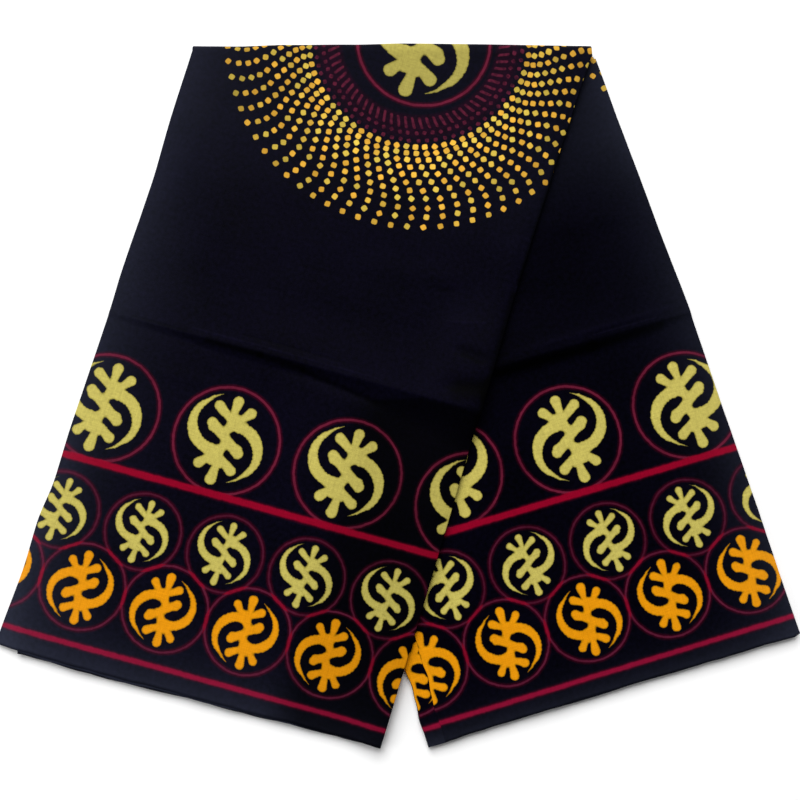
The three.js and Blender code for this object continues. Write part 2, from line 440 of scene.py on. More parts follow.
class FoldedStrip:
    """The whole folded strip: heights of both halves, with creases, wrinkles and swell."""

    CREST_ROUNDING = 1.3  # the crease's crest is rounded over this distance
    RISE_POWER = 1.7  # how hollow the crease's upper slope is
    FALL_POWER = 1.8  # and its lower one
    FLAT_FOLD = 40.0  # wrinkles fade out over this distance towards the turned fold
    SEARCH_STEP = 0.002

    def __init__(self) -> None:
        """Places the strip in the frame and finds where the front rides over the back's ridge."""
        low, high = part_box("front_panel")
        corner = FRONT.print_corner()
        self.offset = np.array([low.x / MM - float(corner[0]), high.y / MM - NOSE_RADIUS, 0.0])
        self.hump = self.crossing()
        ends = np.array([0.0, 1.0])
        self.fold_ends = FRONT.place(ends, FRONT.fold_at(ends))[0]
        self.swell = {FRONT: Swell(11, 0.16, 34.0, 170.0), BACK: Swell(23, 0.16, 30.0, 160.0)}
        self.wrinkles = {FRONT: FRONT_WRINKLES, BACK: BACK_WRINKLES}

    @staticmethod
    def crossing() -> Pair:
        """Where the front half's right edge crosses the back half's crest.

        Returns:
            Plan position of the crossing.
        """
        one = np.array(1.0)
        start = np.array(FRONT.place(one, FRONT.fold_at(one)))
        end = np.array(FRONT.place(one, FRONT.crease_at(one)))
        for t in np.arange(0.0, 1.0, FoldedStrip.SEARCH_STEP):
            x, y = mix(start, end, t)
            a, s = BACK.strip_place(x, y)
            if s >= BACK.crease_at(a):
                return float(x), float(y)
        return float(end[0]), float(end[1])

    def fold_reach(self, x: Array) -> Array:
        """How far the turned fold bulges out at plan x."""
        start, end = self.fold_ends
        return look_up(FOLD_ROWS, "at", "out", (x - start) / (end - start))

    def ridge(self, half: Half, x: Array, y: Array) -> Array:
        """Height that the packing crease adds, with its crest slightly rounded.

        Args:
            half: the half of the strip.
            x: plan positions to the right.
            y: plan positions towards the fold.

        Returns:
            Heights at these positions.
        """
        a, s = half.strip_place(x, y)
        off = s - half.crease_at(a)
        soft = np.sqrt(off**2 + self.CREST_ROUNDING**2) - self.CREST_ROUNDING
        rise = np.clip(1.0 - soft / RIDGE_RISE, 0.0, 1.0) ** self.RISE_POWER
        fall = np.clip(1.0 - soft / look_up(half.crest, "at", "fall", a), 0.0, 1.0) ** self.FALL_POWER
        return look_up(half.crest, "at", "height", a) * np.where(off < 0.0, rise, fall)

    def base(self, half: Half, x: Array, y: Array) -> Array:
        """Height of a half's underside, which climbs over the other half's crease at the hump.

        Args:
            half: the half of the strip.
            x: plan positions to the right.
            y: plan positions towards the fold.

        Returns:
            Heights at these positions.
        """
        if half is BACK:
            return np.zeros(np.shape(x))
        outside = -BACK.strip_place(x, y)[0] * STRIP_WIDTH
        away = np.clip(np.hypot(x - self.hump[0], y - self.hump[1]) / HUMP_RADIUS, 0.0, 1.0)
        hump = HUMP_HEIGHT * np.cos(away * math.pi / 2) ** 2
        return (UPPER_BASE + hump) * (1.0 - smooth((outside - LEDGE) / RAMP))

    def face(self, half: Half, x: Array, y: Array) -> Array:
        """Height of a half's upper face.

        Args:
            half: the half of the strip.
            x: plan positions to the right.
            y: plan positions towards the fold.

        Returns:
            Heights at these positions.
        """
        u, v = half.cloth_place(x, y)
        near_fold = smooth(-y / self.FLAT_FOLD)
        detail = self.swell[half].rise(u, v) - half.shoulder(half.strip_place(x, y)[0])
        for wrinkle in self.wrinkles[half]:
            detail = detail + wrinkle.rise(u, v)
        return self.base(half, x, y) + HALF_STACK + self.ridge(half, x, y) + detail * near_fold


FRONT_WRINKLES = table(
    Wrinkle,
    ((308, 353), (352, 348), -0.9, 4.0, 0.4),
    ((306, 318), (356, 327), -1.3, 8.0, 0.2),
    ((150, 303), (280, 286), -1.2, 4.5, -0.3),
    ((120, 316), (240, 315), -0.25, 2.4),
    ((275, 399), (312, 405), -0.35, 4.0),
    ((296, 373), (344, 384), 0.4, 4.0),
    ((20, 262), (150, 268), 0.5, 7.0),
    ((60, 150), (160, 172), -0.4, 9.0),
    ((190, 400), (330, 420), 0.5, 12.0),
    ((30, 420), (60, 560), 0.5, 9.0),
    ((270, 120), (320, 20), 0.4, 8.0),
)
BACK_WRINKLES = table(
    Wrinkle,
    ((160, 311), (330, 313), 0.5, 5.0),
    ((236, 309), (310, 309), -0.3, 1.6),
    ((210, 420), (330, 400), 0.5, 10.0),
    ((200, 240), (320, 262), 0.4, 8.0),
    ((60, 90), (170, 70), 0.4, 9.0),
)


# ----- Meshes -----


def level_way(way: Array) -> Array:
    """Directions made level and one unit long."""
    flat = way * (1.0, 1.0, 0.0)
    return flat / np.linalg.norm(flat, axis=-1, keepdims=True)


def grid_quads(index: Array) -> Array:
    """Corner numbers of the quads of a grid of vertex numbers, turning from rows to columns."""
    corners = [index[:-1, :-1], index[1:, :-1], index[1:, 1:], index[:-1, 1:]]
    return np.stack(corners, axis=-1).reshape(-1, 4)


def make_mesh(name: str, points: Array, quads: Array, prints: Array) -> Piece:
    """Links a smooth-shaded mesh object with a print map.

    Args:
        name: the piece's name.
        points: vertex positions in metres.
        quads: vertex numbers of each face.
        prints: cloth coordinates in millimetres of each corner of each face.

    Returns:
        The new object.
    """
    mesh = bpy.data.meshes.new(name)
    mesh.from_pydata(points.tolist(), [], quads.tolist())
    layer = mesh.uv_layers.new(name=PRINT_MAP)
    layer.uv.foreach_set("vector", prints.reshape(-1).astype(np.float32))
    mesh.shade_smooth()
    mesh.validate()
    piece = bpy.data.objects.new(name, mesh)
    bpy.context.scene.collection.objects.link(piece)
    return piece


def choose_piece(piece: Piece) -> None:
    """Selects one piece and nothing else.

    Args:
        piece: the piece.
    """
    bpy.ops.object.select_all(action="DESELECT")
    piece.select_set(True)
    bpy.context.view_layer.objects.active = piece


@dataclass(frozen=True)
class RowSpread:
    """How a mesh's rows are spread down one half: closer together on the packing crease.

    upper and lower count the even rows above and below the crease and foot_rows those at its
    foot. before and after are how far the close rows reach to both sides of its crest.
    """

    FOOT: ClassVar[float] = 15.0  # the rows at the crease's foot start this far from its crest

    upper: int
    lower: int
    pitch: float
    fine_pitch: float
    before: float
    after: float
    foot_rows: int

    def rows(self, first: Array, crease: Array, last: Array) -> Array:
        """Spreads the rows in each column.

        Args:
            first: how far down the strip the first row lies.
            crease: how far down the packing crease lies.
            last: how far down the last row lies.

        Returns:
            Distances down the strip for each row and column.
        """
        flank = np.arange(-RIDGE_RISE, -self.before - self.fine_pitch, self.pitch)
        near = np.arange(-self.before, self.after + self.fine_pitch / 2, self.fine_pitch)
        foot = np.linspace(self.FOOT, RIDGE_FALL, self.foot_rows)
        return np.vstack([
            mix(first, crease - RIDGE_RISE, np.linspace(0.0, 1.0, self.upper)[:-1, None]),
            crease + np.concatenate([flank, near, foot])[:, None],
            mix(crease + RIDGE_FALL, last, np.linspace(0.0, 1.0, self.lower)[1:, None]),
        ])


@dataclass
class TopSheet:
    """The sheet on top of one half: a thin shell, folded over at its sides.

    A turned sheet starts under the turned fold and goes round it.
    """

    strip: FoldedStrip
    half: Half
    name: str
    turned: bool
    thickness: float = 0.34
    spread: RowSpread = RowSpread(84, 100, 2.8, 0.9, 13.5, 13.5, 10)
    rim: tuple[float, ...] = (0.0, 0.1, 0.3, 0.55, 0.9, 1.6)  # columns at the rolled sides
    inner_start: float = 3.2  # the even columns start this far in
    edge_roll: float = 0.8  # radius of the roll at the folded sides
    nose_steps: int = 22
    tuck: float = 7.0  # how far a turned sheet goes on under the fold
    start: float = 1.5  # a sheet that isn't turned stops this far short of the fold
    selvage_wave: float = 0.35
    selvage_turns: Pair = (61.0, 23.0)  # radians across the strip of its two waves

    def columns(self) -> Array:
        """Places across the strip, closer together at the rolled sides.

        Returns:
            Places from 0 at left to 1.
        """
        rim = np.array(self.rim) / STRIP_WIDTH
        count = round(STRIP_WIDTH / self.spread.pitch)
        inner = np.linspace(self.inner_start, STRIP_WIDTH - self.inner_start, count) / STRIP_WIDTH
        return np.concatenate([rim, inner, 1.0 - rim[::-1]])

    def rows(self, a: Array) -> Array:
        """Places down the strip, from the fold to the selvage.

        Args:
            a: places across the strip, one for each column.

        Returns:
            Distances down the strip for each row and column.
        """
        fold = self.half.fold_at(a)
        first = fold if self.turned else fold + self.start
        one, other = self.selvage_turns
        wave = self.selvage_wave * np.sin(a * one + self.half.side) * np.sin(a * other)
        return self.spread.rows(first, self.half.crease_at(a), self.half.end_at(a) + wave)

    def droop(self, u: Array, v: Array) -> Array:
        """How far the sheet hangs down where it juts past the layers."""
        return np.zeros(np.shape(u))

    def points(self) -> tuple[Array, Array]:
        """Works out the sheet's face.

        Returns:
            A grid of points in millimetres and their cloth coordinates.
        """
        a = self.columns()
        s = self.rows(a)
        across = np.broadcast_to(a, s.shape)
        x, y = self.half.place(across, s)
        rim = np.minimum(across, 1.0 - across) * STRIP_WIDTH
        depth = np.clip(self.edge_roll - rim, 0.0, None)
        roll = self.edge_roll - np.sqrt(np.clip(self.edge_roll**2 - depth**2, 0.0, None))
        u, v = self.half.cloth_place(x, y)
        z = self.strip.face(self.half, x, y) - roll - self.droop(u, v)
        top = np.stack([x, y, z], axis=-1)
        cloth = np.stack([u, v], axis=-1)
        if not self.turned:
            return top, cloth
        nose, nose_cloth = self.nose(x[0], y[0], z[0])
        return np.concatenate([nose, top]), np.concatenate([nose_cloth, cloth])

    def nose(self, x: Array, y: Array, z: Array) -> tuple[Array, Array]:
        """Works out the rows round the turned fold, from below it up to the first row on top.

        Args:
            x: plan positions to the right of the first row on top.
            y: its plan positions towards the fold.
            z: its heights.

        Returns:
            A grid of points in millimetres and their cloth coordinates.
        """
        turn = np.radians(np.linspace(-90.0, 90.0, self.nose_steps))[:-1, None]
        radius = z / 2.0
        around = np.stack([
            np.broadcast_to(x, (len(turn), len(x))),
            y + (radius + self.strip.fold_reach(x)) * np.cos(turn),
            NOSE_RADIUS + radius * np.sin(turn),
        ], axis=-1)
        under = around[:1].copy()
        under[..., 1] -= self.tuck
        length = np.concatenate([
            [NOSE_RADIUS * math.pi + self.tuck],
            NOSE_RADIUS * (math.pi / 2 - turn[:, 0]),
        ])[:, None]
        cloth = np.stack(self.half.cloth_place(x + 0.0 * length, y + length), axis=-1)
        return np.concatenate([under, around]), cloth

    def build(self) -> Piece:
        """Builds the shell.

        Returns:
            The sheet's object.
        """
        grid, cloth = self.points()
        index = np.arange(grid.shape[0] * grid.shape[1]).reshape(grid.shape[:2])
        quads = grid_quads(index)
        points = (grid.reshape(-1, 3) + self.strip.offset) * MM
        piece = make_mesh(self.name, points, quads, cloth.reshape(-1, 2)[quads])
        shell = piece.modifiers.new("shell", "SOLIDIFY")
        shell.thickness = self.thickness * MM
        shell.offset = -1.0
        choose_piece(piece)
        bpy.ops.object.modifier_apply(modifier=shell.name)
        return piece


@dataclass
class FrontSheet(TopSheet):
    """The front sheet, whose lower left corner juts past the layers and droops."""

    droop_depth: float = 1.6
    droop_start: float = 3.0  # past the layers' edge
    droop_reach: float = 15.0

    def droop(self, u: Array, v: Array) -> Array:
        """The drop grows with the distance past the layers' own edge."""
        past = -look_up(self.half.layers, "v", "left", v) - self.droop_start - u
        return self.droop_depth * smooth(past / self.droop_reach)


@dataclass
class LayerStack:
    """The fifteen hidden layers of both halves and of the turned fold between them, as one solid.

    Its surface is that of a lattice: rows along the strip, columns across it, and levels through
    its thickness from the inner side, where the halves face each other, to the outer.
    """

    strip: FoldedStrip
    name: str = "layer_stack"
    leaves: int = 15
    steps: int = 3  # levels in each leaf
    sheet: float = 0.4  # room for the sheets on both faces
    bore: float = 0.15  # inner radius of the turned fold
    sink: float = 0.9  # the covered faces lie this much lower
    sink_start: float = 3.0  # from the edges
    sink_reach: float = 6.0
    nose_steps: int = 25
    spread: RowSpread = RowSpread(48, 57, 4.5, 1.5, 3.0, 12.0, 5)
    column_count: int = 34
    column_inset: float = 0.012
    meeting_start: float = 1.0  # the back half's inner face rises beside the turned fold
    meeting_reach: float = 14.0
    lip: float = 3.0  # where its outer face meets that of the fold
    leaf_bulge: float = 0.2
    fold_bulge: float = 0.34
    roundness: float = 0.6
    groove: float = 0.18  # depth between leaves
    waves: tuple[float, ...] = (70.0, 170.0, 420.0)  # lengths of the leaves' own waves
    side_stray: float = 0.55
    front_stray: float = 1.5
    back_stray: float = 1.0
    nose_length: float = 20.0  # as the leaves' waves count it
    strip_length: float = 1240.0
    seed: int = 5
    back_start: int = 0  # first row of the lattice that belongs to the back half

    @property
    def levels(self) -> Array:
        """Places through the thickness, from 0 to 1."""
        return np.linspace(0.0, 1.0, self.leaves * self.steps + 1)

    def leaf_profile(self, rows: Array, folded: bool, draw: np.random.Generator, stray: float) -> Array:
        """How far the edge stands out at each row and level.

        Args:
            rows: distance along the edge.
            folded: whether two leaves share each rounded fold.
            draw: source of the leaves' unevenness.
            stray: how far single leaves stray.

        Returns:
            Distances outwards, one row for each place along the edge.
        """
        span = self.steps * (2 if folded else 1)
        step = np.arange(self.leaves * self.steps + 1)
        leaf = np.minimum(step // span, (self.leaves * self.steps - 1) // span)
        part = (step - leaf * span) / span
        count = leaf.max() + 1
        depth = self.fold_bulge if folded else self.leaf_bulge
        bulge = depth * np.sin(np.pi * np.clip(part, 0.0, 1.0)) ** self.roundness
        out = np.zeros((len(rows), len(step)))
        for wave in self.waves:
            height = draw.uniform(0.3, 1.0, count) * stray * 0.5
            phase = draw.uniform(0.0, 2 * math.pi, count)
            out += height[leaf] * np.sin(rows[:, None] * 2 * math.pi / wave + phase[leaf])
        out += draw.uniform(-stray, stray, count)[leaf] * 0.5
        return out + bulge - np.where(part <= 0.0, self.groove, 0.0)

    def half_rows(self, half: Half, a: Array) -> Array:
        """Places down one half for each row and column, from the fold to the selvage."""
        return self.spread.rows(half.fold_at(a), half.crease_at(a), half.layers_end_at(a))

    def columns(self, half: Half, v: Array) -> Array:
        """Places across the strip; the outer two columns follow the layers' own edges.

        Args:
            half: the half of the strip.
            v: distance of each row from the selvage.

        Returns:
            Places across the strip for each row and column.
        """
        inner = np.linspace(self.column_inset, 1.0 - self.column_inset, self.column_count)
        left = -look_up(half.layers, "v", "left", v)[:, None] / STRIP_WIDTH
        right = 1.0 + look_up(half.layers, "v", "right", v)[:, None] / STRIP_WIDTH
        return np.concatenate([left, left + (right - left) * inner, right], axis=1)

    def half_lattice(self, half: Half) -> dict[str, Array]:
        """Points of one half's lattice, from the fold to the selvage.

        Args:
            half: the half of the strip.

        Returns:
            points (rows, columns, levels, 3), cloth (rows, columns, 2) and v, for each row.
        """
        v = half.reach - self.half_rows(half, np.array([0.5]))[:, 0]
        a = self.columns(half, v)
        s = np.stack([self.half_rows(half, a[i])[i] for i in range(len(a))])
        x, y = half.place(a, s)
        top = self.strip.face(half, x, y) - self.sheet
        rim = np.minimum(np.minimum(a, 1.0 - a) * STRIP_WIDTH, half.reach - s)
        top = top - self.sink * smooth((rim - self.sink_start) / self.sink_reach)
        base = self.strip.base(half, x, y)
        levels = self.levels
        if half is BACK:
            base = (1.0 - smooth(-(y + self.meeting_start) / self.meeting_reach)) * self.sheet
            top = top + (1.0 - smooth(-y / self.lip)) * self.sheet
            levels = 1.0 - levels
        z = mix(base[..., None], top[..., None], levels)
        plan = [np.broadcast_to(side[..., None], z.shape) for side in (x, y)]
        cloth = np.stack(half.cloth_place(x, y), axis=-1)
        return {"points": np.stack([*plan, z], axis=-1), "cloth": cloth, "v": v}

    def nose_lattice(self, first: Array, last: Array) -> Array:
        """Points of the turned fold, between the front's first row and the back's.

        Args:
            first: plan x of the front's columns at the fold.
            last: plan x of the back's.

        Returns:
            Points (rows, columns, levels, 3).
        """
        turn = np.radians(np.linspace(90.0, -90.0, self.nose_steps))[1:-1, None, None]
        radius = mix(self.bore, NOSE_RADIUS - self.sheet, self.levels)
        x = mix(first[:, None], last[:, None], (math.pi / 2 - turn) / math.pi)
        y = (radius + self.strip.fold_reach(x) * self.levels) * np.cos(turn)
        z = NOSE_RADIUS + radius * np.sin(turn)
        return np.stack(np.broadcast_arrays(x, y, z), axis=-1)

    def build(self) -> Piece:
        """Builds the solid.

        Returns:
            The stack's object.
        """
        draw = np.random.default_rng(self.seed)
        front, back = self.half_lattice(FRONT), self.half_lattice(BACK)
        nose = self.nose_lattice(front["points"][0, :, 0, 0], back["points"][0, :, 0, 0])
        self.back_start = len(front["points"]) + len(nose) // 2
        points = np.concatenate([front["points"][::-1], nose, back["points"]])
        arc = np.linspace(0.0, 1.0, len(nose) + 2)[1:-1]
        nose_cloth = mix(front["cloth"][:1], back["cloth"][:1], arc[:, None, None])
        cloth = np.concatenate([front["cloth"][::-1], nose_cloth, back["cloth"]])
        nose_along = mix(front["v"][0], front["v"][0] + self.nose_length, arc)
        along = np.concatenate([front["v"][::-1], nose_along, self.strip_length - back["v"]])
        self.push_edges(points, along, draw)
        return self.link(points, cloth)

    def push_edges(self, points: Array, along: Array, draw: np.random.Generator) -> None:
        """Moves the lattice's outer points out and in, leaf by leaf.

        Args:
            points: the lattice, which is changed.
            along: distance of each row along the strip.
            draw: source of the leaves' unevenness.
        """
        across = level_way(points[:, -1] - points[:, 0])
        for column, sign in ((0, -1.0), (-1, 1.0)):
            out = self.leaf_profile(along, True, draw, self.side_stray)
            points[:, column] += sign * across * out[..., None]
        place = np.linspace(0.0, STRIP_WIDTH, points.shape[1])
        for row, inner, stray in ((0, 1, self.front_stray), (-1, -2, self.back_stray)):
            down = level_way(points[row] - points[inner])
            points[row] += down * self.leaf_profile(place, False, draw, stray)[..., None]

    def link(self, points: Array, cloth: Array) -> Piece:
        """Makes the lattice's surface a mesh, with the print on the faces and the folds.

        Args:
            points: the lattice.
            cloth: cloth coordinates of its rows and columns.

        Returns:
            The stack's object.
        """
        shape = points.shape[:3]
        i, j, m = np.indices(shape)
        outer = (i == 0) | (i == shape[0] - 1) | (j == 0) | (j == shape[1] - 1)
        outer |= (m == 0) | (m == shape[2] - 1)
        index = np.full(shape, -1)
        index[outer] = np.arange(outer.sum())
        flat = np.broadcast_to(cloth[:, :, None, :], shape + (2,))
        fold = (np.arange(shape[2]) // (2 * self.steps)) * 2.0 * STRIP_WIDTH
        walls = []
        for column in (0, -1):
            u = cloth[:, column, :1] + fold
            v = np.broadcast_to(cloth[:, column, 1:], u.shape)
            walls.append(np.stack([u, v], axis=-1))
        faces = [
            (index[:, :, 0][:, ::-1], flat[:, :, 0][:, ::-1]),
            (index[:, :, -1], flat[:, :, -1]),
            (index[:, 0, :], walls[0]),
            (index[:, -1, :][:, ::-1], walls[1][:, ::-1]),
            (index[0][:, ::-1], flat[0][:, ::-1]),
            (index[-1], flat[-1]),
        ]
        quads = np.concatenate([grid_quads(numbers) for numbers, _ in faces])
        prints = [
            places.reshape(-1, 2)[grid_quads(np.arange(numbers.size).reshape(numbers.shape))]
            for numbers, places in faces
        ]
        vertices = (points[outer] + self.strip.offset) * MM
        piece = make_mesh(self.name, vertices, quads, np.concatenate(prints))
        rows = i[outer][quads].mean(axis=1)
        piece.data.polygons.foreach_set("material_index", (rows > self.back_start).astype(np.int32))
        self.point_outwards(piece)
        return piece

    @staticmethod
    def point_outwards(piece: Piece) -> None:
        """Recalculates the normals of a closed mesh so that they face outwards.

        Args:
            piece: the mesh's object.
        """
        choose_piece(piece)
        bpy.ops.object.mode_set(mode="EDIT")
        bpy.ops.mesh.select_all(action="SELECT")
        bpy.ops.mesh.normals_make_consistent(inside=False)
        bpy.ops.object.mode_set(mode="OBJECT")


# ----- Shader nodes -----


class Kind(Enum):
    """Kinds of values that a node group takes and gives, and that a Mix node blends."""

    NUMBER = "NodeSocketFloat"
    VECTOR = "NodeSocketVector"
    COLOUR = "NodeSocketColor"


# A Mix node's data type, first value and output for each kind
MIXES: dict[Kind, tuple[str, int, int]] = {
    Kind.NUMBER: ("FLOAT", 2, 0),
    Kind.VECTOR: ("VECTOR", 4, 1),
    Kind.COLOUR: ("RGBA", 6, 2),
}


@dataclass(frozen=True)
class Cloud:
    """A pattern of noise, smooth from one value, where the noise is low, to another.

    scale is in cells for each millimetre, low and high are levels of the noise, and at_low and
    at_high the values there.
    """

    scale: float
    detail: float
    low: float
    high: float
    at_low: float = 0.0
    at_high: float = 1.0


class Bench:
    """Adds nodes to one tree. Each call gives the new node's output socket."""

    def __init__(self, tree: Tree) -> None:
        """Starts on a tree."""
        self.tree = tree

    def feed(self, socket: Socket, value: Number | tuple) -> None:
        """Gives an input its value.

        Args:
            socket: the input.
            value: a socket to link, or a constant.
        """
        if isinstance(value, Socket):
            self.tree.links.new(value, socket)
        else:
            socket.default_value = value

    def node(self, kind: str, values: dict | None = None, **settings: object) -> bpy.types.Node:
        """Adds one node.

        Args:
            kind: the node's type, without its Shader prefix.
            values: sockets or constants for its inputs, by name or number.
            settings: the node's own properties.

        Returns:
            The node.
        """
        node = self.tree.nodes.new("ShaderNode" + kind)
        for key, value in settings.items():
            setattr(node, key, value)
        for key, value in (values or {}).items():
            self.feed(node.inputs[key], value)
        return node

    def group(self, tree: Tree, values: dict) -> bpy.types.Node:
        """Places a node group with its own values."""
        return self.node("Group", values, node_tree=tree)

    def math(self, operation: str, *values: Number, clamp: bool = False) -> Socket:
        """A Math node."""
        node = self.node("Math", dict(enumerate(values)), operation=operation, use_clamp=clamp)
        return node.outputs[0]

    def times(self, a: Number, b: Number) -> Socket:
        """The product of two numbers."""
        return self.math("MULTIPLY", a, b)

    def plus(self, a: Number, b: Number) -> Socket:
        """The sum of two numbers."""
        return self.math("ADD", a, b)

    def minus(self, a: Number, b: Number) -> Socket:
        """The difference of two numbers."""
        return self.math("SUBTRACT", a, b)

    def linear(self, value: Number, slope: Number, start: Number) -> Socket:
        """A straight rule: start, and slope for each unit of the value."""
        return self.math("MULTIPLY_ADD", value, slope, start)

    def most(self, a: Number, b: Number) -> Socket:
        """The greater of two numbers."""
        return self.math("MAXIMUM", a, b)

    def least(self, a: Number, b: Number) -> Socket:
        """The smaller of two numbers."""
        return self.math("MINIMUM", a, b)

    def merge(self, a: Number, b: Number, fillet: float) -> Socket:
        """The smaller of two distances, with a fillet where the two shapes meet."""
        return self.math("SMOOTH_MIN", a, b, fillet)

    def wrap(self, value: Number, half: float) -> Socket:
        """A value moved by whole pitches to within half a pitch of 0."""
        return self.math("WRAP", value, half, -half)

    def vector(self, operation: str, *values: Socket | tuple) -> Socket:
        """A Vector Math node."""
        node = self.node("VectorMath", dict(enumerate(values)), operation=operation)
        return node.outputs["Value" if operation in ("LENGTH", "DOT_PRODUCT") else "Vector"]

    def scale(self, value: Socket, factor: Number) -> Socket:
        """A vector times a number."""
        return self.node("VectorMath", {0: value, "Scale": factor}, operation="SCALE").outputs[0]

    def turn(self, value: Socket, angle: Number) -> Socket:
        """A vector turned about z."""
        return self.node("VectorRotate", {"Vector": value, "Angle": angle}, rotation_type="Z_AXIS").outputs[0]

    def join(self, x: Number, y: Number, z: Number = 0.0) -> Socket:
        """A vector from its three parts."""
        return self.node("CombineXYZ", {0: x, 1: y, 2: z}).outputs[0]

    def split(self, value: Socket) -> tuple[Socket, Socket]:
        """The first two parts of a vector."""
        node = self.node("SeparateXYZ", {0: value})
        return node.outputs[0], node.outputs[1]

    def choose(
        self, factor: Socket, a: Number | tuple, b: Number | tuple, kind: Kind = Kind.COLOUR
    ) -> Socket:
        """Blends two values.

        Args:
            factor: 0 for the first and 1 for the second.
            a: the first value.
            b: the second value.
            kind: what they are.

        Returns:
            The blend.
        """
        data_type, first, output = MIXES[kind]
        if kind is Kind.COLOUR:
            a, b = ((*value, 1.0) if isinstance(value, tuple) else value for value in (a, b))
        return self.node("Mix", {0: factor, first: a, first + 1: b}, data_type=data_type).outputs[output]

    def blend(self, factor: Socket, a: Number, b: Number) -> Socket:
        """Blends two numbers."""
        return self.choose(factor, a, b, Kind.NUMBER)

    def ramp(self, value: Number, low: float, high: float, start: float = 0.0, end: float = 1.0) -> Socket:
        """Smooth step of a value from start, at low, to end, at high."""
        values = {0: value, 1: low, 2: high, 3: start, 4: end}
        return self.node("MapRange", values, interpolation_type="SMOOTHSTEP").outputs[0]

    def noise(self, place: Socket, scale: float, detail: float = 2.0, colour: bool = False) -> Socket:
        """Noise at a place."""
        node = self.node("TexNoise", {"Vector": place, "Scale": scale, "Detail": detail})
        return node.outputs["Color" if colour else "Fac"]

    def cloud(self, place: Socket, cloud: Cloud) -> Socket:
        """A cloud's value at a place."""
        noise = self.noise(place, cloud.scale, cloud.detail)
        return self.ramp(noise, cloud.low, cloud.high, cloud.at_low, cloud.at_high)


def new_group(
    name: str, inputs: dict[str, Kind], outputs: dict[str, Kind]
) -> tuple[Tree, Bench, dict[str, Socket], bpy.types.Node]:
    """Starts a node group.

    Args:
        name: the group's name.
        inputs: its inputs by name.
        outputs: its outputs by name.

    Returns:
        The group, a bench on it, its inputs' sockets by name, and its output node.
    """
    tree = bpy.data.node_groups.new(name, "ShaderNodeTree")
    for way, sockets in (("INPUT", inputs), ("OUTPUT", outputs)):
        for label, kind in sockets.items():
            tree.interface.new_socket(label, in_out=way, socket_type=kind.value)
    start = tree.nodes.new("NodeGroupInput")
    end = tree.nodes.new("NodeGroupOutput")
    return tree, Bench(tree), {label: start.outputs[label] for label in inputs}, end


# ----- The print -----


@dataclass(frozen=True)
class Stroke:
    """A round-ended stroke, in the units of the points it is measured from, with y upwards."""

    start: Pair
    end: Pair
    start_width: float = 0.0
    end_width: float = 0.0

    @staticmethod
    @cache
    def build() -> Tree:
        """Makes the group that gives the distance from a stroke's edge.

        Returns:
            The group, the same one at every call.
        """
        kinds = {"Point": Kind.VECTOR, "Start": Kind.VECTOR, "End": Kind.VECTOR,
                 "Start Width": Kind.NUMBER, "End Width": Kind.NUMBER}
        tree, bench, given, end = new_group("tapered_stroke", kinds, {"Distance": Kind.NUMBER})
        along = bench.vector("SUBTRACT", given["End"], given["Start"])
        away = bench.vector("SUBTRACT", given["Point"], given["Start"])
        part = bench.math(
            "DIVIDE", bench.vector("DOT_PRODUCT", away, along),
            bench.vector("DOT_PRODUCT", along, along), clamp=True,
        )
        gap = bench.vector("LENGTH", bench.vector("SUBTRACT", away, bench.scale(along, part)))
        width = bench.blend(part, given["Start Width"], given["End Width"])
        tree.links.new(bench.minus(gap, width), end.inputs[0])
        return tree

    def gap(self, bench: Bench, point: Socket) -> Socket:
        """Distance from this stroke's edge.

        Args:
            bench: where to add it.
            point: the place to measure from.

        Returns:
            The distance.
        """
        return bench.group(self.build(), {
            "Point": point, "Start": (*self.start, 0.0), "End": (*self.end, 0.0),
            "Start Width": self.start_width, "End Width": self.end_width,
        }).outputs[0]


@dataclass(frozen=True)
class Bow:
    """A crescent along an arc: its half width grows with the angle, up to a greatest one.

    It fades out past its first and last angle, in degrees from the x axis.
    """

    middle: Pair
    radius: float
    level_width: float  # half width where the angle is 0
    growth: float  # for each radian
    widest: float
    first: float
    last: float
    first_fade: float
    last_fade: float
    teeth: float = 34.0  # waves of its serrated edge, for each radian
    tooth: float = 0.003

    def gap(self, bench: Bench, place: Socket) -> Socket:
        """Distance from the bow's edge.

        Args:
            bench: where to add it.
            place: the place to measure from.

        Returns:
            The distance.
        """
        away = bench.vector("SUBTRACT", place, (*self.middle, 0.0))
        x, y = bench.split(away)
        angle = bench.math("ARCTAN2", y, x)
        width = bench.least(bench.linear(angle, self.growth, self.level_width), self.widest)
        teeth = bench.math("SINE", bench.times(angle, self.teeth))
        width = bench.linear(teeth, self.tooth, width)
        start = bench.linear(angle, self.first_fade, -self.first_fade * math.radians(self.first))
        stop = bench.linear(angle, -self.last_fade, self.last_fade * math.radians(self.last))
        width = bench.least(width, bench.least(start, stop))
        off = bench.math("ABSOLUTE", bench.minus(bench.vector("LENGTH", away), self.radius))
        return bench.minus(off, width)


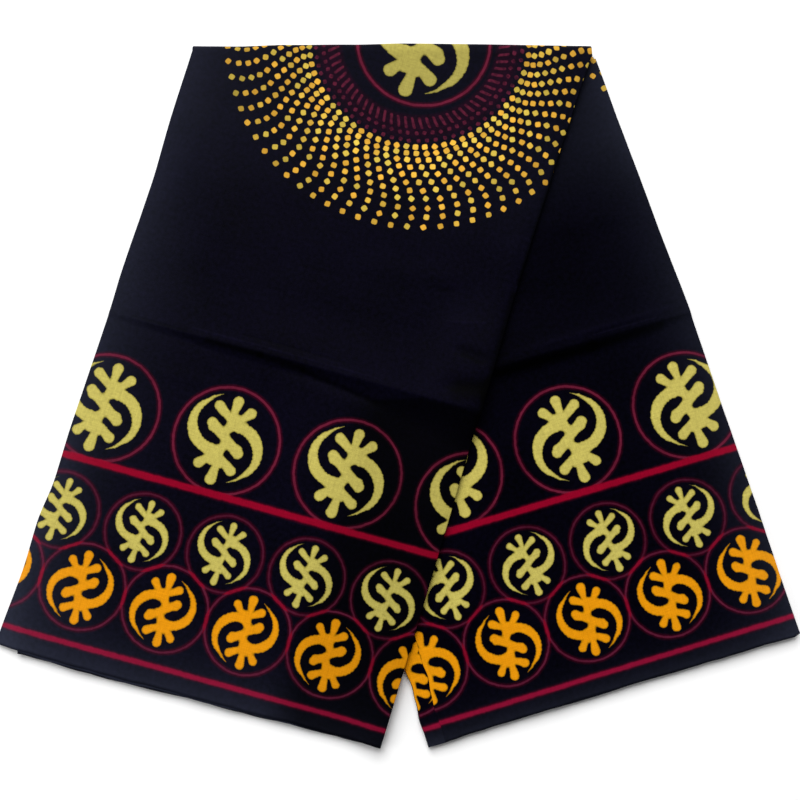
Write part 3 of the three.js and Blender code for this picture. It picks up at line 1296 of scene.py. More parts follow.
@dataclass(frozen=True)
class AdinkraSymbol:
    """The traditional symbol inside each ring, in radii of the ring, with y upwards.

    Its upper and lower parts mirror each other through the middle, so only one of each pair is
    stated. The two tall knobs and the heel differ and are stated as they are. upper_way and
    lower_way point to the sides on which the knobs and the bow are stated.
    """

    name: str = "pale_symbol"
    tall: tuple[Stroke, ...] = (
        Stroke((0.061, 0.722), (0.035, 0.448), 0.104, 0.060),
        Stroke((-0.054, -0.800), (-0.018, -0.508), 0.110, 0.064),
    )
    knobs: tuple[Stroke, ...] = (
        Stroke((-0.262, 0.562), (-0.028, 0.392), 0.102, 0.074),
        Stroke((0.352, 0.566), (0.175, 0.378), 0.101, 0.056),
    )
    spine: Stroke = Stroke((0.105, 0.347), (-0.004, 0.154), 0.144, 0.077)
    prong: tuple[Stroke, ...] = (
        Stroke((0.303, -0.220), (0.0, 0.0), 0.105, 0.090),
        Stroke((0.272, -0.162), (0.10, -0.07), 0.103, 0.070),
    )
    bow: Bow = Bow((0.190, -0.222), 0.486, 0.084, 0.040, 0.112, -64.0, 112.0, 0.150, 0.300)
    tail: tuple[Stroke, ...] = (
        Stroke((0.520, -0.590), (0.400, -0.706), 0.034, 0.022),
        Stroke((0.400, -0.706), (0.249, -0.790), 0.022, 0.002),
    )
    heel: Stroke = Stroke((-0.150, -0.455), (0.040, -0.500), 0.095, 0.070)
    upper_way: Colour = (0.2, 0.98, 0.0)
    lower_way: Colour = (0.95, -0.3, 0.0)
    fillet: float = 0.07
    tail_fillet: float = 0.02
    core_fillet: float = 0.17
    prong_fillet: float = 0.13
    heel_fillet: float = 0.05

    def build(self) -> Tree:
        """Makes the group that gives the distance from the symbol's edge.

        Returns:
            The group.
        """
        tree, bench, given, end = new_group(
            self.name, {"Point": Kind.VECTOR}, {"Distance": Kind.NUMBER}
        )
        place = given["Point"]
        upper = self.folded(bench, place, self.upper_way)
        lower = self.folded(bench, place, self.lower_way)
        total = bench.least(*(shape.gap(bench, place) for shape in self.tall))
        for shape in self.knobs:
            total = bench.merge(total, shape.gap(bench, upper), self.fillet)
        crescent = self.bow.gap(bench, lower)
        for shape in self.tail:
            crescent = bench.merge(crescent, shape.gap(bench, lower), self.tail_fillet)
        core = bench.merge(self.spine.gap(bench, upper), crescent, self.core_fillet)
        total = bench.merge(total, core, self.fillet)
        prong = bench.least(*(shape.gap(bench, lower) for shape in self.prong))
        total = bench.merge(total, prong, self.prong_fillet)
        total = bench.merge(total, self.heel.gap(bench, place), self.heel_fillet)
        tree.links.new(total, end.inputs[0])
        return tree

    @staticmethod
    def folded(bench: Bench, place: Socket, way: Colour) -> Socket:
        """The point or its opposite, whichever lies on the side that way points to."""
        return bench.scale(place, bench.math("SIGN", bench.vector("DOT_PRODUCT", place, way)))


@dataclass(frozen=True)
class PrintColours:
    """Colours of the print, as linear values of the dry cloth."""

    ground: Colour = (0.0013, 0.0010, 0.0044)
    violet: Colour = (0.0078, 0.0004, 0.0050)
    crimson: Colour = (0.228, 0.0011, 0.0150)
    border: Colour = (0.205, 0.0034, 0.0245)
    halo: Colour = (0.0300, 0.0006, 0.0068)
    large_ring: Colour = (0.118, 0.0100, 0.0280)
    small_ring: Colour = (0.062, 0.0070, 0.0205)
    orange_ring: Colour = (0.088, 0.0095, 0.0275)
    dull: Colour = (0.090, 0.010, 0.026)
    pale: Colour = (0.51, 0.440, 0.100)
    pale_dull: Colour = (0.445, 0.380, 0.088)
    pale_rim: Colour = (0.34, 0.290, 0.055)
    orange: Colour = (0.70, 0.264, 0.0035)
    orange_rim: Colour = (0.44, 0.185, 0.0012)
    dot: Colour = (0.70, 0.370, 0.040)
    dot_green: Colour = (0.57, 0.415, 0.060)


@dataclass(frozen=True)
class DrawnRing:
    """A ring with its symbol in the print's group.

    length and beyond are the distances from the middles of the nearest ring and of the next
    one, in radii, and point is the place in the symbol. shade is how bright its pale ink is.
    """

    length: Socket
    point: Socket
    radius: float
    line: float
    ink: Colour
    thinner: float = 0.0
    beyond: Socket | None = None
    shade: float = 1.0

    def gap(self, bench: Bench, length: Socket) -> Socket:
        """Distance from a ring's line, given the distance from its middle in radii."""
        gap = bench.math("ABSOLUTE", bench.minus(length, 1.0))
        return bench.linear(gap, self.radius, -self.line / 2)


@dataclass(frozen=True)
class RoundelRow:
    """A row of ringed symbols along the cloth.

    height is from the selvage to the rings' middles, line the width of a ring, and shift how
    far the symbol lies off its ring's middle, in radii. The symbol's outline is drawn in by
    thinner, in millimetres.
    """

    pitch: float
    radius: float
    height: float
    line: float
    shift: Pair
    ink: Colour
    flipped: bool = False
    thinner: float = 0.0

    def draw(self, bench: Bench, u: Socket, v: Socket, start: Socket, side: Socket) -> DrawnRing:
        """Finds the row's nearest ring and the place in its symbol.

        Args:
            bench: where to add it.
            u: the place on the cloth along the selvage.
            v: its distance from the selvage.
            start: where along the selvage one ring's middle lies.
            side: 1 on the printed face and -1 on the reverse.

        Returns:
            The ring.
        """
        along = bench.wrap(bench.minus(u, start), self.pitch / 2)
        along = bench.times(bench.times(along, side), 1.0 / self.radius)
        up = bench.linear(v, 1.0 / self.radius, -self.height / self.radius)
        place = bench.join(along, up)
        symbol = bench.vector("SUBTRACT", place, (*self.shift, 0.0))
        if self.flipped:
            symbol = bench.vector("MULTIPLY", symbol, (-1.0, 1.0, 1.0))
        further = bench.minus(self.pitch / self.radius, bench.math("ABSOLUTE", along))
        return DrawnRing(
            bench.vector("LENGTH", place), symbol, self.radius, self.line, self.ink, self.thinner,
            bench.vector("LENGTH", bench.join(further, up)),
        )


@dataclass(frozen=True)
class Stripe:
    """A stripe along the cloth: the distance of its middle from the selvage, and its width."""

    middle: float
    width: float

    def gap(self, bench: Bench, v: Socket) -> Socket:
        """Distance from the stripe's edge."""
        return bench.minus(bench.math("ABSOLUTE", bench.minus(v, self.middle)), self.width / 2)


@dataclass(frozen=True)
class DotRings:
    """Circles of dots about one middle, counted from the outermost.

    A circle's radius is outer - step * n + closing * n * n. Its dots are turned by swing +
    lean * n, in degrees, and sway to both sides of that once in every wave circles.
    """

    arms: int
    count: int
    outer: float
    step: float
    closing: float
    half_side: float
    swing: float
    lean: float
    sway: float
    wave: float = 16.0
    wave_start: float = 2.0
    jitter: float = 0.8
    tilt: float = 0.8  # each dot is turned by up to this many radians
    squareness: float = 3.2  # 2 would be round

    def draw(self, bench: Bench, length: Socket, angle: Socket, edge: float) -> tuple[Socket, Socket]:
        """Draws the dots.

        Args:
            bench: where to add them.
            length: distance from the circles' middle.
            angle: direction from it.
            edge: softness of the ink's edge.

        Returns:
            Their ink and random numbers for each dot.
        """
        square_step = self.step**2 - 4 * self.closing * self.outer
        inner = bench.linear(length, 4 * self.closing, square_step)
        root = bench.math("SQRT", bench.most(inner, 0.0))
        number = bench.linear(root, -0.5 / self.closing, 0.5 * self.step / self.closing)
        number = bench.math("ROUND", number)
        radius = bench.linear(bench.times(number, number), self.closing, self.outer)
        radius = bench.linear(number, -self.step, radius)
        turns = 2 * math.pi / self.wave
        wave = bench.linear(number, turns, -turns * self.wave_start)
        swing = bench.times(bench.math("COSINE", wave), math.radians(self.sway))
        swing = bench.linear(number, math.radians(self.lean), swing)
        swing = bench.plus(swing, math.radians(self.swing))
        turned = bench.minus(angle, swing)
        pitch = 2 * math.pi / self.arms
        arm = bench.math("ROUND", bench.math("DIVIDE", turned, pitch))
        beside = bench.wrap(turned, pitch / 2)
        chance = bench.node("TexWhiteNoise", {"Vector": bench.join(number, arm)}, noise_dimensions="3D")
        jitter = bench.vector("SUBTRACT", chance.outputs["Color"], (0.5, 0.5, 0.5))
        offset = bench.join(bench.minus(length, radius), bench.times(beside, radius))
        offset = bench.vector("ADD", offset, bench.scale(jitter, self.jitter))
        tilted = bench.turn(offset, bench.linear(chance.outputs["Value"], 2 * self.tilt, -self.tilt))
        x, y = bench.split(bench.vector("ABSOLUTE", tilted))
        power = bench.plus(bench.math("POWER", x, self.squareness), bench.math("POWER", y, self.squareness))
        size = bench.math("POWER", power, 1 / self.squareness)
        ink = bench.ramp(size, self.half_side + edge, self.half_side - edge)
        half = (self.count - 1) / 2
        return bench.times(ink, bench.math("COMPARE", number, half, half + 0.5)), chance.outputs["Color"]


@dataclass(frozen=True)
class BarCircle:
    """A circle of short round-ended bars, which lean more the further out they reach."""

    arms: int
    middle: float = 78.6
    length: float = 10.6
    width: float = 2.6
    swing: float = -10.2
    lean: float = 0.2  # degrees for each millimetre outwards
    edge: float = 0.5

    def draw(self, bench: Bench, length: Socket, angle: Socket) -> Socket:
        """Draws the bars.

        Args:
            bench: where to add them.
            length: distance from the circle's middle.
            angle: direction from it.

        Returns:
            Their ink.
        """
        off = bench.minus(length, self.middle)
        swing = bench.linear(off, math.radians(self.lean), math.radians(self.swing))
        beside = bench.wrap(bench.minus(angle, swing), math.pi / self.arms)
        beside = bench.math("ABSOLUTE", bench.times(beside, length))
        past = bench.minus(bench.math("ABSOLUTE", off), (self.length - self.width) / 2)
        gap = bench.vector("LENGTH", bench.join(beside, bench.most(past, 0.0)))
        return bench.ramp(gap, self.width / 2 + self.edge, self.width / 2 - self.edge)


@dataclass(frozen=True)
class Sunburst:
    """Dots and bars in curved arms round the large ringed symbol on the cloth's middle line.

    The ringed symbol is printed slightly off the middle, by ring_place, and turned. The dots'
    ink is a rule of slope and start on each dot's own chance, and grows from far_ink at the
    outermost circle to near_ink at near. It is brightest in the way that down points, by a rule
    of slope and start on how near they lie to it.
    """

    ARMS: ClassVar[int] = 73

    bright: DotRings = DotRings(ARMS, 11, 174.5, 9.05, 0.168, 2.45, -3.35, 0.0, 4.75)
    dull: DotRings = DotRings(ARMS, 2, 95.0, 7.05, 0.0001, 1.75, -6.7, -1.2, 0.0)
    bars: BarCircle = BarCircle(ARMS)
    blotches: Cloud = Cloud(0.22, 1.0, 0.3, 0.65, 0.35, 1.0)  # in the dull ink
    ring: float = 60.7
    ring_line: float = 2.3
    ring_place: Pair = (4.6, -0.1)
    ring_turn: float = 1.0
    ring_shade: float = 0.71  # its ink is thinner than that of the rows
    symbol_shift: Pair = (-0.03, 0.0)
    zone_outside: float = 22.0  # the violet ground starts this far outside the innermost bright dots
    zone_outer_fade: float = 9.0
    zone_inner_fade: float = 4.0
    hues: Pair = (0.25, 0.95)  # chances between which a dot turns from yellow to green
    chance_ink: Pair = (0.30, 0.62)
    near: float = 115.0
    near_ink: float = 1.28
    far_ink: float = 0.98
    down: Pair = (0.263, -0.965)
    down_ink: Pair = (0.41, 0.75)

    def draw_ring(self, bench: Bench, middle: Socket, ink: Colour) -> DrawnRing:
        """Finds the place in the ringed symbol.

        Args:
            bench: where to add it.
            middle: the place on the cloth, from the sunburst's middle.
            ink: the ring's colour.

        Returns:
            The ring.
        """
        place = bench.vector("SUBTRACT", middle, (*self.ring_place, 0.0))
        place = bench.scale(bench.turn(place, math.radians(-self.ring_turn)), 1.0 / self.ring)
        length = bench.vector("LENGTH", place)
        symbol = bench.vector("SUBTRACT", place, (*self.symbol_shift, 0.0))
        return DrawnRing(length, symbol, self.ring, self.ring_line, ink, shade=self.ring_shade)

    def draw(
        self, bench: Bench, place: Socket, turn: Socket, side: Socket, edge: float, colours: PrintColours
    ) -> tuple[Socket, Socket]:
        """Draws the dots, the bars and the violet ground under them.

        Args:
            bench: where to add them.
            place: the place on the cloth, from the sunburst's middle.
            turn: how far the arms are turned, in radians.
            side: 1 on the printed face and -1 on the reverse.
            edge: softness of the ink's edge.
            colours: the print's colours.

        Returns:
            Colour of the ground with the sunburst on it, and the sunburst's ink.
        """
        u, v = bench.split(place)
        length = bench.vector("LENGTH", place)
        angle = bench.plus(bench.math("ARCTAN2", v, u), turn)
        bright, chance = self.bright.draw(bench, length, angle, edge)
        dull, _ = self.dull.draw(bench, length, angle, edge)
        bar = self.bars.draw(bench, length, angle)
        blotch = bench.cloud(place, self.blotches)
        dull = bench.times(bench.most(dull, bar), blotch)
        outside = self.bright.outer - self.bright.step * self.bright.count + self.zone_outside
        inside = self.bars.middle - self.bars.length / 2
        zone = bench.times(bench.ramp(length, outside, outside - self.zone_outer_fade),
                           bench.ramp(length, inside - self.zone_inner_fade, inside))
        colour = bench.choose(zone, colours.ground, colours.violet)
        colour = bench.choose(dull, colour, colours.dull)
        hue, level = bench.split(chance)
        ink = bench.choose(bench.ramp(hue, *self.hues), colours.dot, colours.dot_green)
        level = bench.linear(level, *self.chance_ink)
        growth = bench.ramp(length, self.bright.outer, self.near, self.far_ink, self.near_ink)
        level = bench.times(level, growth)
        down = bench.linear(bench.times(u, side), self.down[0], bench.times(v, self.down[1]))
        facing = bench.math("DIVIDE", down, length)
        level = bench.times(level, bench.linear(facing, *self.down_ink))
        colour = bench.choose(bright, colour, bench.scale(ink, level))
        return colour, bench.most(bright, dull)


@dataclass(frozen=True)
class ClothPrint:
    """The whole print, in millimetres of cloth: u along the selvage and v from it."""

    symbol: AdinkraSymbol = AdinkraSymbol()
    orange_symbol: AdinkraSymbol = AdinkraSymbol(
        name="orange_symbol",
        tall=(Stroke((0.016, 0.765), (0.020, 0.500), 0.112, 0.062),
              Stroke((-0.072, -0.745), (-0.060, -0.480), 0.108, 0.066)),
        knobs=(Stroke((-0.245, 0.533), (-0.028, 0.402), 0.102, 0.070),
               Stroke((0.350, 0.592), (0.195, 0.398), 0.095, 0.060)),
        spine=Stroke((0.085, 0.357), (-0.004, 0.164), 0.144, 0.083),
        prong=(Stroke((0.292, -0.208), (0.0, 0.0), 0.103, 0.090),
               Stroke((0.265, -0.152), (0.10, -0.07), 0.101, 0.070)),
        bow=Bow((0.180, -0.175), 0.490, 0.080, 0.040, 0.110, -66.0, 112.0, 0.150, 0.340),
        tail=(Stroke((0.500, -0.545), (0.385, -0.664), 0.034, 0.020),
              Stroke((0.385, -0.664), (0.250, -0.756), 0.020, 0.002)),
        heel=Stroke((-0.150, -0.455), (0.000, -0.460), 0.060, 0.050),
    )
    colours: PrintColours = PrintColours()
    sunburst: Sunburst = Sunburst()
    orange_row: RoundelRow = RoundelRow(
        74.9, 37.5, 66.9, 1.7, (-0.041, -0.038), PrintColours.orange_ring, flipped=True
    )
    small_row: RoundelRow = RoundelRow(
        74.9, 33.5, 126.4, 1.6, (-0.036, 0.035), PrintColours.small_ring, thinner=0.38
    )
    large_row: RoundelRow = RoundelRow(
        111.4, 47.5, 222.8, 2.1, (-0.042, 0.038), PrintColours.large_ring, thinner=0.13
    )
    border: Stripe = Stripe(17.0, 4.1)
    stripe: Stripe = Stripe(174.0, 5.6)
    wobble: float = 1.2  # the print's lines stray by up to half of this
    wobble_grain: float = 0.16
    edge: float = 0.35  # softness of the ink's edges
    symbol_edge: float = 0.5
    symbol_teeth: float = 0.018  # unevenness of the symbols' edges, in radii
    teeth_grain: float = 0.6
    symbol_rim: Pair = (-1.5, -0.1)  # the ink is darker between here and the symbol's edge
    band_edge: float = 1.0
    ring_fading: Cloud = Cloud(0.03, 2.0, 0.3, 0.7, 0.72, 1.0)
    wear: Cloud = Cloud(0.35, 4.0, 0.35, 0.72)  # of the pale ink
    glow: float = 3.3  # the red dye bleeds this far past its lines
    glow_ink: float = 0.5
    meeting: float = 1.4  # lines nearer together than twice this run into each other
    meeting_dye: float = 0.7

    def build(self) -> Tree:
        """Makes the group that gives the print's colour and how much ink lies on the ground.

        Returns:
            The group.
        """
        kinds = {"Cloth": Kind.VECTOR, "Side": Kind.NUMBER,
                 "Small Start": Kind.NUMBER, "Large Start": Kind.NUMBER,
                 "Middle": Kind.VECTOR, "Burst Turn": Kind.NUMBER}
        tree, bench, given, end = new_group(
            "cloth_print", kinds, {"Color": Kind.COLOUR, "Ink": Kind.NUMBER}
        )
        side, start = given["Side"], given["Small Start"]
        wobble = bench.noise(given["Cloth"], self.wobble_grain, colour=True)
        wobble = bench.vector("MULTIPLY", bench.vector("SUBTRACT", wobble, (0.5, 0.5, 0.5)),
                              (self.wobble, self.wobble, 0.0))
        cloth = bench.vector("ADD", given["Cloth"], wobble)
        u, v = bench.split(cloth)
        middle = bench.vector("SUBTRACT", cloth, given["Middle"])
        marks = [
            self.orange_row.draw(bench, u, v, start, side),
            self.small_row.draw(bench, u, v, bench.plus(start, self.small_row.pitch / 2), side),
            self.large_row.draw(bench, u, v, given["Large Start"], side),
            self.sunburst.draw_ring(bench, middle, self.colours.large_ring),
        ]
        colour, dots = self.sunburst.draw(bench, middle, given["Burst Turn"], side, self.edge, self.colours)
        bands = [self.border.gap(bench, v), self.stripe.gap(bench, v)]
        colour, ring_ink = self.draw_lines(bench, cloth, colour, marks, bands)
        mark, orange, shade = self.draw_symbols(bench, cloth, marks)
        for gap, ink in zip(bands, (self.colours.border, self.colours.crimson)):
            band = bench.ramp(gap, self.band_edge, -self.band_edge)
            colour = bench.choose(band, colour, ink)
            ring_ink = bench.most(ring_ink, band)
        rim = bench.ramp(mark, *self.symbol_rim)
        pale = bench.choose(bench.cloud(cloth, self.wear), self.colours.pale, self.colours.pale_dull)
        pale = bench.scale(bench.choose(rim, pale, self.colours.pale_rim), shade)
        warm = bench.choose(rim, self.colours.orange, self.colours.orange_rim)
        mark_ink = bench.ramp(mark, self.symbol_edge, -self.symbol_edge)
        colour = bench.choose(mark_ink, colour, bench.choose(orange, pale, warm))
        tree.links.new(colour, end.inputs[0])
        tree.links.new(bench.most(ring_ink, bench.most(mark_ink, dots)), end.inputs[1])
        return tree

    def draw_lines(
        self, bench: Bench, cloth: Socket, colour: Socket, marks: list[DrawnRing], bands: list[Socket]
    ) -> tuple[Socket, Socket]:
        """Draws the rings, the dye that bleeds from all lines, and the dye where two lines meet.

        Args:
            bench: where to add them.
            cloth: the place on the cloth.
            colour: what lies under the lines.
            marks: the nearest ring of each row.
            bands: distances from the stripes' edges.

        Returns:
            The colour with the lines on it and the lines' ink.
        """
        drawn = bench.cloud(cloth, self.ring_fading)
        gaps = [mark.gap(bench, mark.length) for mark in marks]
        glow = bench.ramp(reduce(bench.least, gaps + bands), self.glow, 0.0)
        glow = bench.times(glow, glow)
        colour = bench.choose(glow, colour, self.colours.halo)
        ink = bench.times(glow, self.glow_ink)
        for gap, mark in zip(gaps, marks):
            line = bench.times(bench.ramp(gap, self.edge, -self.edge), drawn)
            colour = bench.choose(line, colour, mark.ink)
            ink = bench.most(ink, line)
        others = [mark.gap(bench, mark.beyond) for mark in marks if mark.beyond is not None]
        reach = [bench.ramp(gap, self.meeting, 0.0) for gap in gaps + bands + others]
        second = bench.math("SUBTRACT", reduce(bench.plus, reach), reduce(bench.most, reach), clamp=True)
        met = bench.times(second, self.meeting_dye)
        return bench.choose(met, colour, self.colours.crimson), bench.most(ink, met)

    def draw_symbols(
        self, bench: Bench, cloth: Socket, marks: list[DrawnRing]
    ) -> tuple[Socket, Socket, Socket]:
        """Draws the symbol of the nearest ring. The first ring's is orange and the others' pale.

        Args:
            bench: where to add it.
            cloth: the place on the cloth.
            marks: the nearest ring of each row.

        Returns:
            Distance from the symbol's edge, 1 where it is orange, and how bright its ink is.
        """
        nearest, point = marks[0].length, marks[0].point
        radius, thinner, shade, orange = marks[0].radius, marks[0].thinner, marks[0].shade, 1.0
        for mark in marks[1:]:
            closer = bench.math("LESS_THAN", mark.length, nearest)
            point = bench.choose(closer, point, mark.point, Kind.VECTOR)
            radius = bench.blend(closer, radius, mark.radius)
            thinner = bench.blend(closer, thinner, mark.thinner)
            shade = bench.blend(closer, shade, mark.shade)
            orange = bench.times(orange, bench.minus(1.0, closer))
            nearest = bench.least(nearest, mark.length)
        pale_gap, orange_gap = (
            bench.group(symbol.build(), {"Point": point}).outputs[0]
            for symbol in (self.symbol, self.orange_symbol)
        )
        gap = bench.blend(orange, pale_gap, orange_gap)
        grain = bench.noise(cloth, self.teeth_grain, detail=1.0)
        teeth = bench.linear(grain, self.symbol_teeth, -self.symbol_teeth / 2)
        return bench.linear(bench.plus(gap, teeth), radius, thinner), orange, shade


# ----- The cloth's finish, with painted light and shade -----


@dataclass(frozen=True)
class Weave:
    """Plain weave of fine cotton: heights of its threads, slubs and small crumples."""

    thread: float = 0.42  # distance between threads, in millimetres
    thread_relief: float = 0.10
    slub_grain: Pair = (0.07, 1.1)  # along and across a thread
    slub_relief: float = 0.25
    crumple_grain: float = 0.035
    crumple_relief: float = 1.6
    mottle_grain: float = 0.26
    mottle_share: float = 0.62  # of the dye's unevenness, the rest being clouds
    cloud_grain: float = 0.018

    def build(self) -> Tree:
        """Makes the group that gives the weave's height and how uneven its threads and dye are.

        Returns:
            The group.
        """
        tree, bench, given, end = new_group(
            "plain_weave", {"Cloth": Kind.VECTOR},
            {"Height": Kind.NUMBER, "Threads": Kind.NUMBER, "Dye": Kind.NUMBER},
        )
        cloth = given["Cloth"]
        turns = 2 * math.pi / self.thread
        warp, weft = (bench.math("SINE", bench.times(part, turns)) for part in bench.split(cloth))
        over = bench.times(warp, weft)
        along, across = self.slub_grain
        slubs = [
            bench.noise(bench.vector("MULTIPLY", cloth, grain), scale=1.0, detail=3.0)
            for grain in ((along, across, 1.0), (across, along, 1.0))
        ]
        threads = bench.plus(*slubs)
        mottle = bench.noise(cloth, self.mottle_grain, detail=4.0)
        cloud = bench.noise(cloth, self.cloud_grain, detail=3.0)
        dye = bench.linear(mottle, self.mottle_share, bench.times(cloud, 1.0 - self.mottle_share))
        height = bench.linear(over, self.thread_relief, bench.times(threads, self.slub_relief))
        crumple = bench.noise(cloth, self.crumple_grain, detail=5.0)
        height = bench.linear(crumple, self.crumple_relief, height)
        for output, value in enumerate((height, bench.times(threads, 0.5), dye)):
            tree.links.new(value, end.inputs[output])
        return tree


@dataclass(frozen=True)
class ShadedCrease:
    """A fine crease line on a cloth's face, sunk or raised in the bump, with painted shade along troughs,
    whose depth is above 0, and a painted highlight along crests, below 0.
    """

    start: Pair
    end: Pair
    width: float
    depth: float


@dataclass(frozen=True)
class EdgeHighlight:
    """Painted highlight along one border: its strength there and how far it reaches."""

    strength: float = 0.0
    reach: float = 20.0


@dataclass(frozen=True)
class PaintedShading:
    """Painted light and shade on a face of the cloth: painted highlights along its borders and top, and
    painted shade over one patch.

    left, right and selvage lie along those borders, and upper, a painted highlight at the top, fades in
    above upper_from. The painted shade lies right of a place along the selvage and below a distance from it.
    """

    STRAY: ClassVar[float] = 16.0  # the painted shade's side strays by up to half of this
    STRAY_GRAIN: ClassVar[float] = 0.02
    UPPER_FADE: ClassVar[float] = 100.0
    UPPER_GAIN: ClassVar[float] = 1.1  # the painted highlight at the right side grows by this share there
    SHADE_SIDE_FADE: ClassVar[float] = 44.0
    SHADE_TOP_FADE: ClassVar[float] = 3.0
    SHADE_SLOPE: ClassVar[float] = 0.30  # the painted shade's top falls off this steeply left of the next value
    SHADE_LEVEL: ClassVar[float] = 300.0
    SHADE_SELVAGE: ClassVar[float] = -0.8  # share of the painted highlight at the selvage that the painted shade takes away

    left: EdgeHighlight = EdgeHighlight()
    right: EdgeHighlight = EdgeHighlight()
    selvage: EdgeHighlight = EdgeHighlight()
    upper: float = 0.0
    upper_from: float = 420.0
    painted_shade: float = 0.0
    painted_shade_from: float = 250.0
    painted_shade_top: float = 303.5

    @classmethod
    def build(cls) -> Tree:
        """Makes the group that gives the painted highlights and the painted shade.

        Returns:
            The group.
        """
        kinds = {"Cloth": Kind.VECTOR} | {label: Kind.NUMBER for label in cls().values()}
        tree, bench, given, end = new_group(
            "cloth_painted_shading", kinds, {"Lift": Kind.NUMBER, "Depth": Kind.NUMBER}
        )
        stray = bench.noise(given["Cloth"], cls.STRAY_GRAIN)
        stray = bench.linear(stray, cls.STRAY, -cls.STRAY / 2)
        u, v = bench.split(given["Cloth"])

        def edge_highlight(distance: Socket, label: str) -> Socket:
            """Painted highlight at a distance from one border."""
            part = bench.math("DIVIDE", bench.most(distance, 0.0), given[label + " Reach"])
            return bench.times(bench.math("EXPONENT", bench.times(part, -1.0)), given[label])

        aside = bench.minus(bench.plus(u, stray), given["Painted Shade From"])
        aside = bench.ramp(bench.linear(aside, 1.0 / cls.SHADE_SIDE_FADE, 0.5), 0.0, 1.0)
        slope = bench.linear(bench.minus(cls.SHADE_LEVEL, u), cls.SHADE_SLOPE, v)
        below = bench.minus(given["Painted Shade Top"], bench.most(slope, v))
        below = bench.ramp(below, -cls.SHADE_TOP_FADE, cls.SHADE_TOP_FADE)
        depth = bench.times(bench.times(aside, below), given["Painted Shade"])
        high = bench.ramp(bench.minus(v, given["Upper From"]), 0.0, cls.UPPER_FADE)
        right = edge_highlight(bench.minus(STRIP_WIDTH, u), "Right")
        right = bench.times(right, bench.linear(high, cls.UPPER_GAIN, 1.0))
        selvage = bench.times(edge_highlight(v, "Selvage"), bench.linear(depth, cls.SHADE_SELVAGE, 1.0))
        total = bench.plus(bench.plus(edge_highlight(u, "Left"), right), selvage)
        tree.links.new(bench.linear(high, given["Upper"], total), end.inputs[0])
        tree.links.new(depth, end.inputs[1])
        return tree

    def values(self) -> dict[str, float]:
        """The group's input values for this face.

        Returns:
            Values by the inputs' names.
        """
        values = {}
        for label, edge_highlight in (("Left", self.left), ("Right", self.right), ("Selvage", self.selvage)):
            values |= {label: edge_highlight.strength, label + " Reach": edge_highlight.reach}
        return values | {
            "Upper": self.upper, "Upper From": self.upper_from,
            "Painted Shade": self.painted_shade, "Painted Shade From": self.painted_shade_from, "Painted Shade Top": self.painted_shade_top,
        }


class ClothEffects:
    """The node groups that every finish of the cloth shares."""

    def __init__(self) -> None:
        """Builds the groups."""
        self.design = ClothPrint().build()
        self.weave = Weave().build()
        self.painted_shading = PaintedShading.build()


@dataclass(frozen=True)
class Cotton:
    """How the cotton takes dye, wear and light, and its painted light and shade.

    Each pair is the slope and start of a straight rule. A rule on the dye or the threads starts
    where they are weakest, and one on the ground starts on full ink.
    """

    ink_mottle: Pair = (0.30, 0.85)
    ground_mottle: Pair = (3.4, -0.7)
    ground_least: float = 0.1
    thread_shade: Pair = (0.8, 0.6)
    # painted shade over one patch, stronger on the bare ground
    painted_shade_on_ground: Pair = (0.6, 0.2)
    # painted shade and highlights of the fine creases, stronger on the bare ground
    crease_shade_on_ground: Pair = (0.9, 0.1)
    crease_shade_most: float = 0.95
    crease_relief: float = -1.4
    # colour of the painted highlights along the borders, and how it varies
    painted_light_colour: Colour = (0.56, 0.64, 1.0)
    painted_light_mottle: Pair = (0.8, 0.6)
    painted_light_on_ground: Pair = (0.6, 0.4)
    roughness: float = 0.48
    ink_roughness: float = 0.12
    dye_roughness: float = 0.14
    sheen_roughness: float = 0.5
    sheen_tint: Colour = (0.55, 0.62, 0.9)
    bump_strength: float = 0.7
    bump_height: float = 0.0002


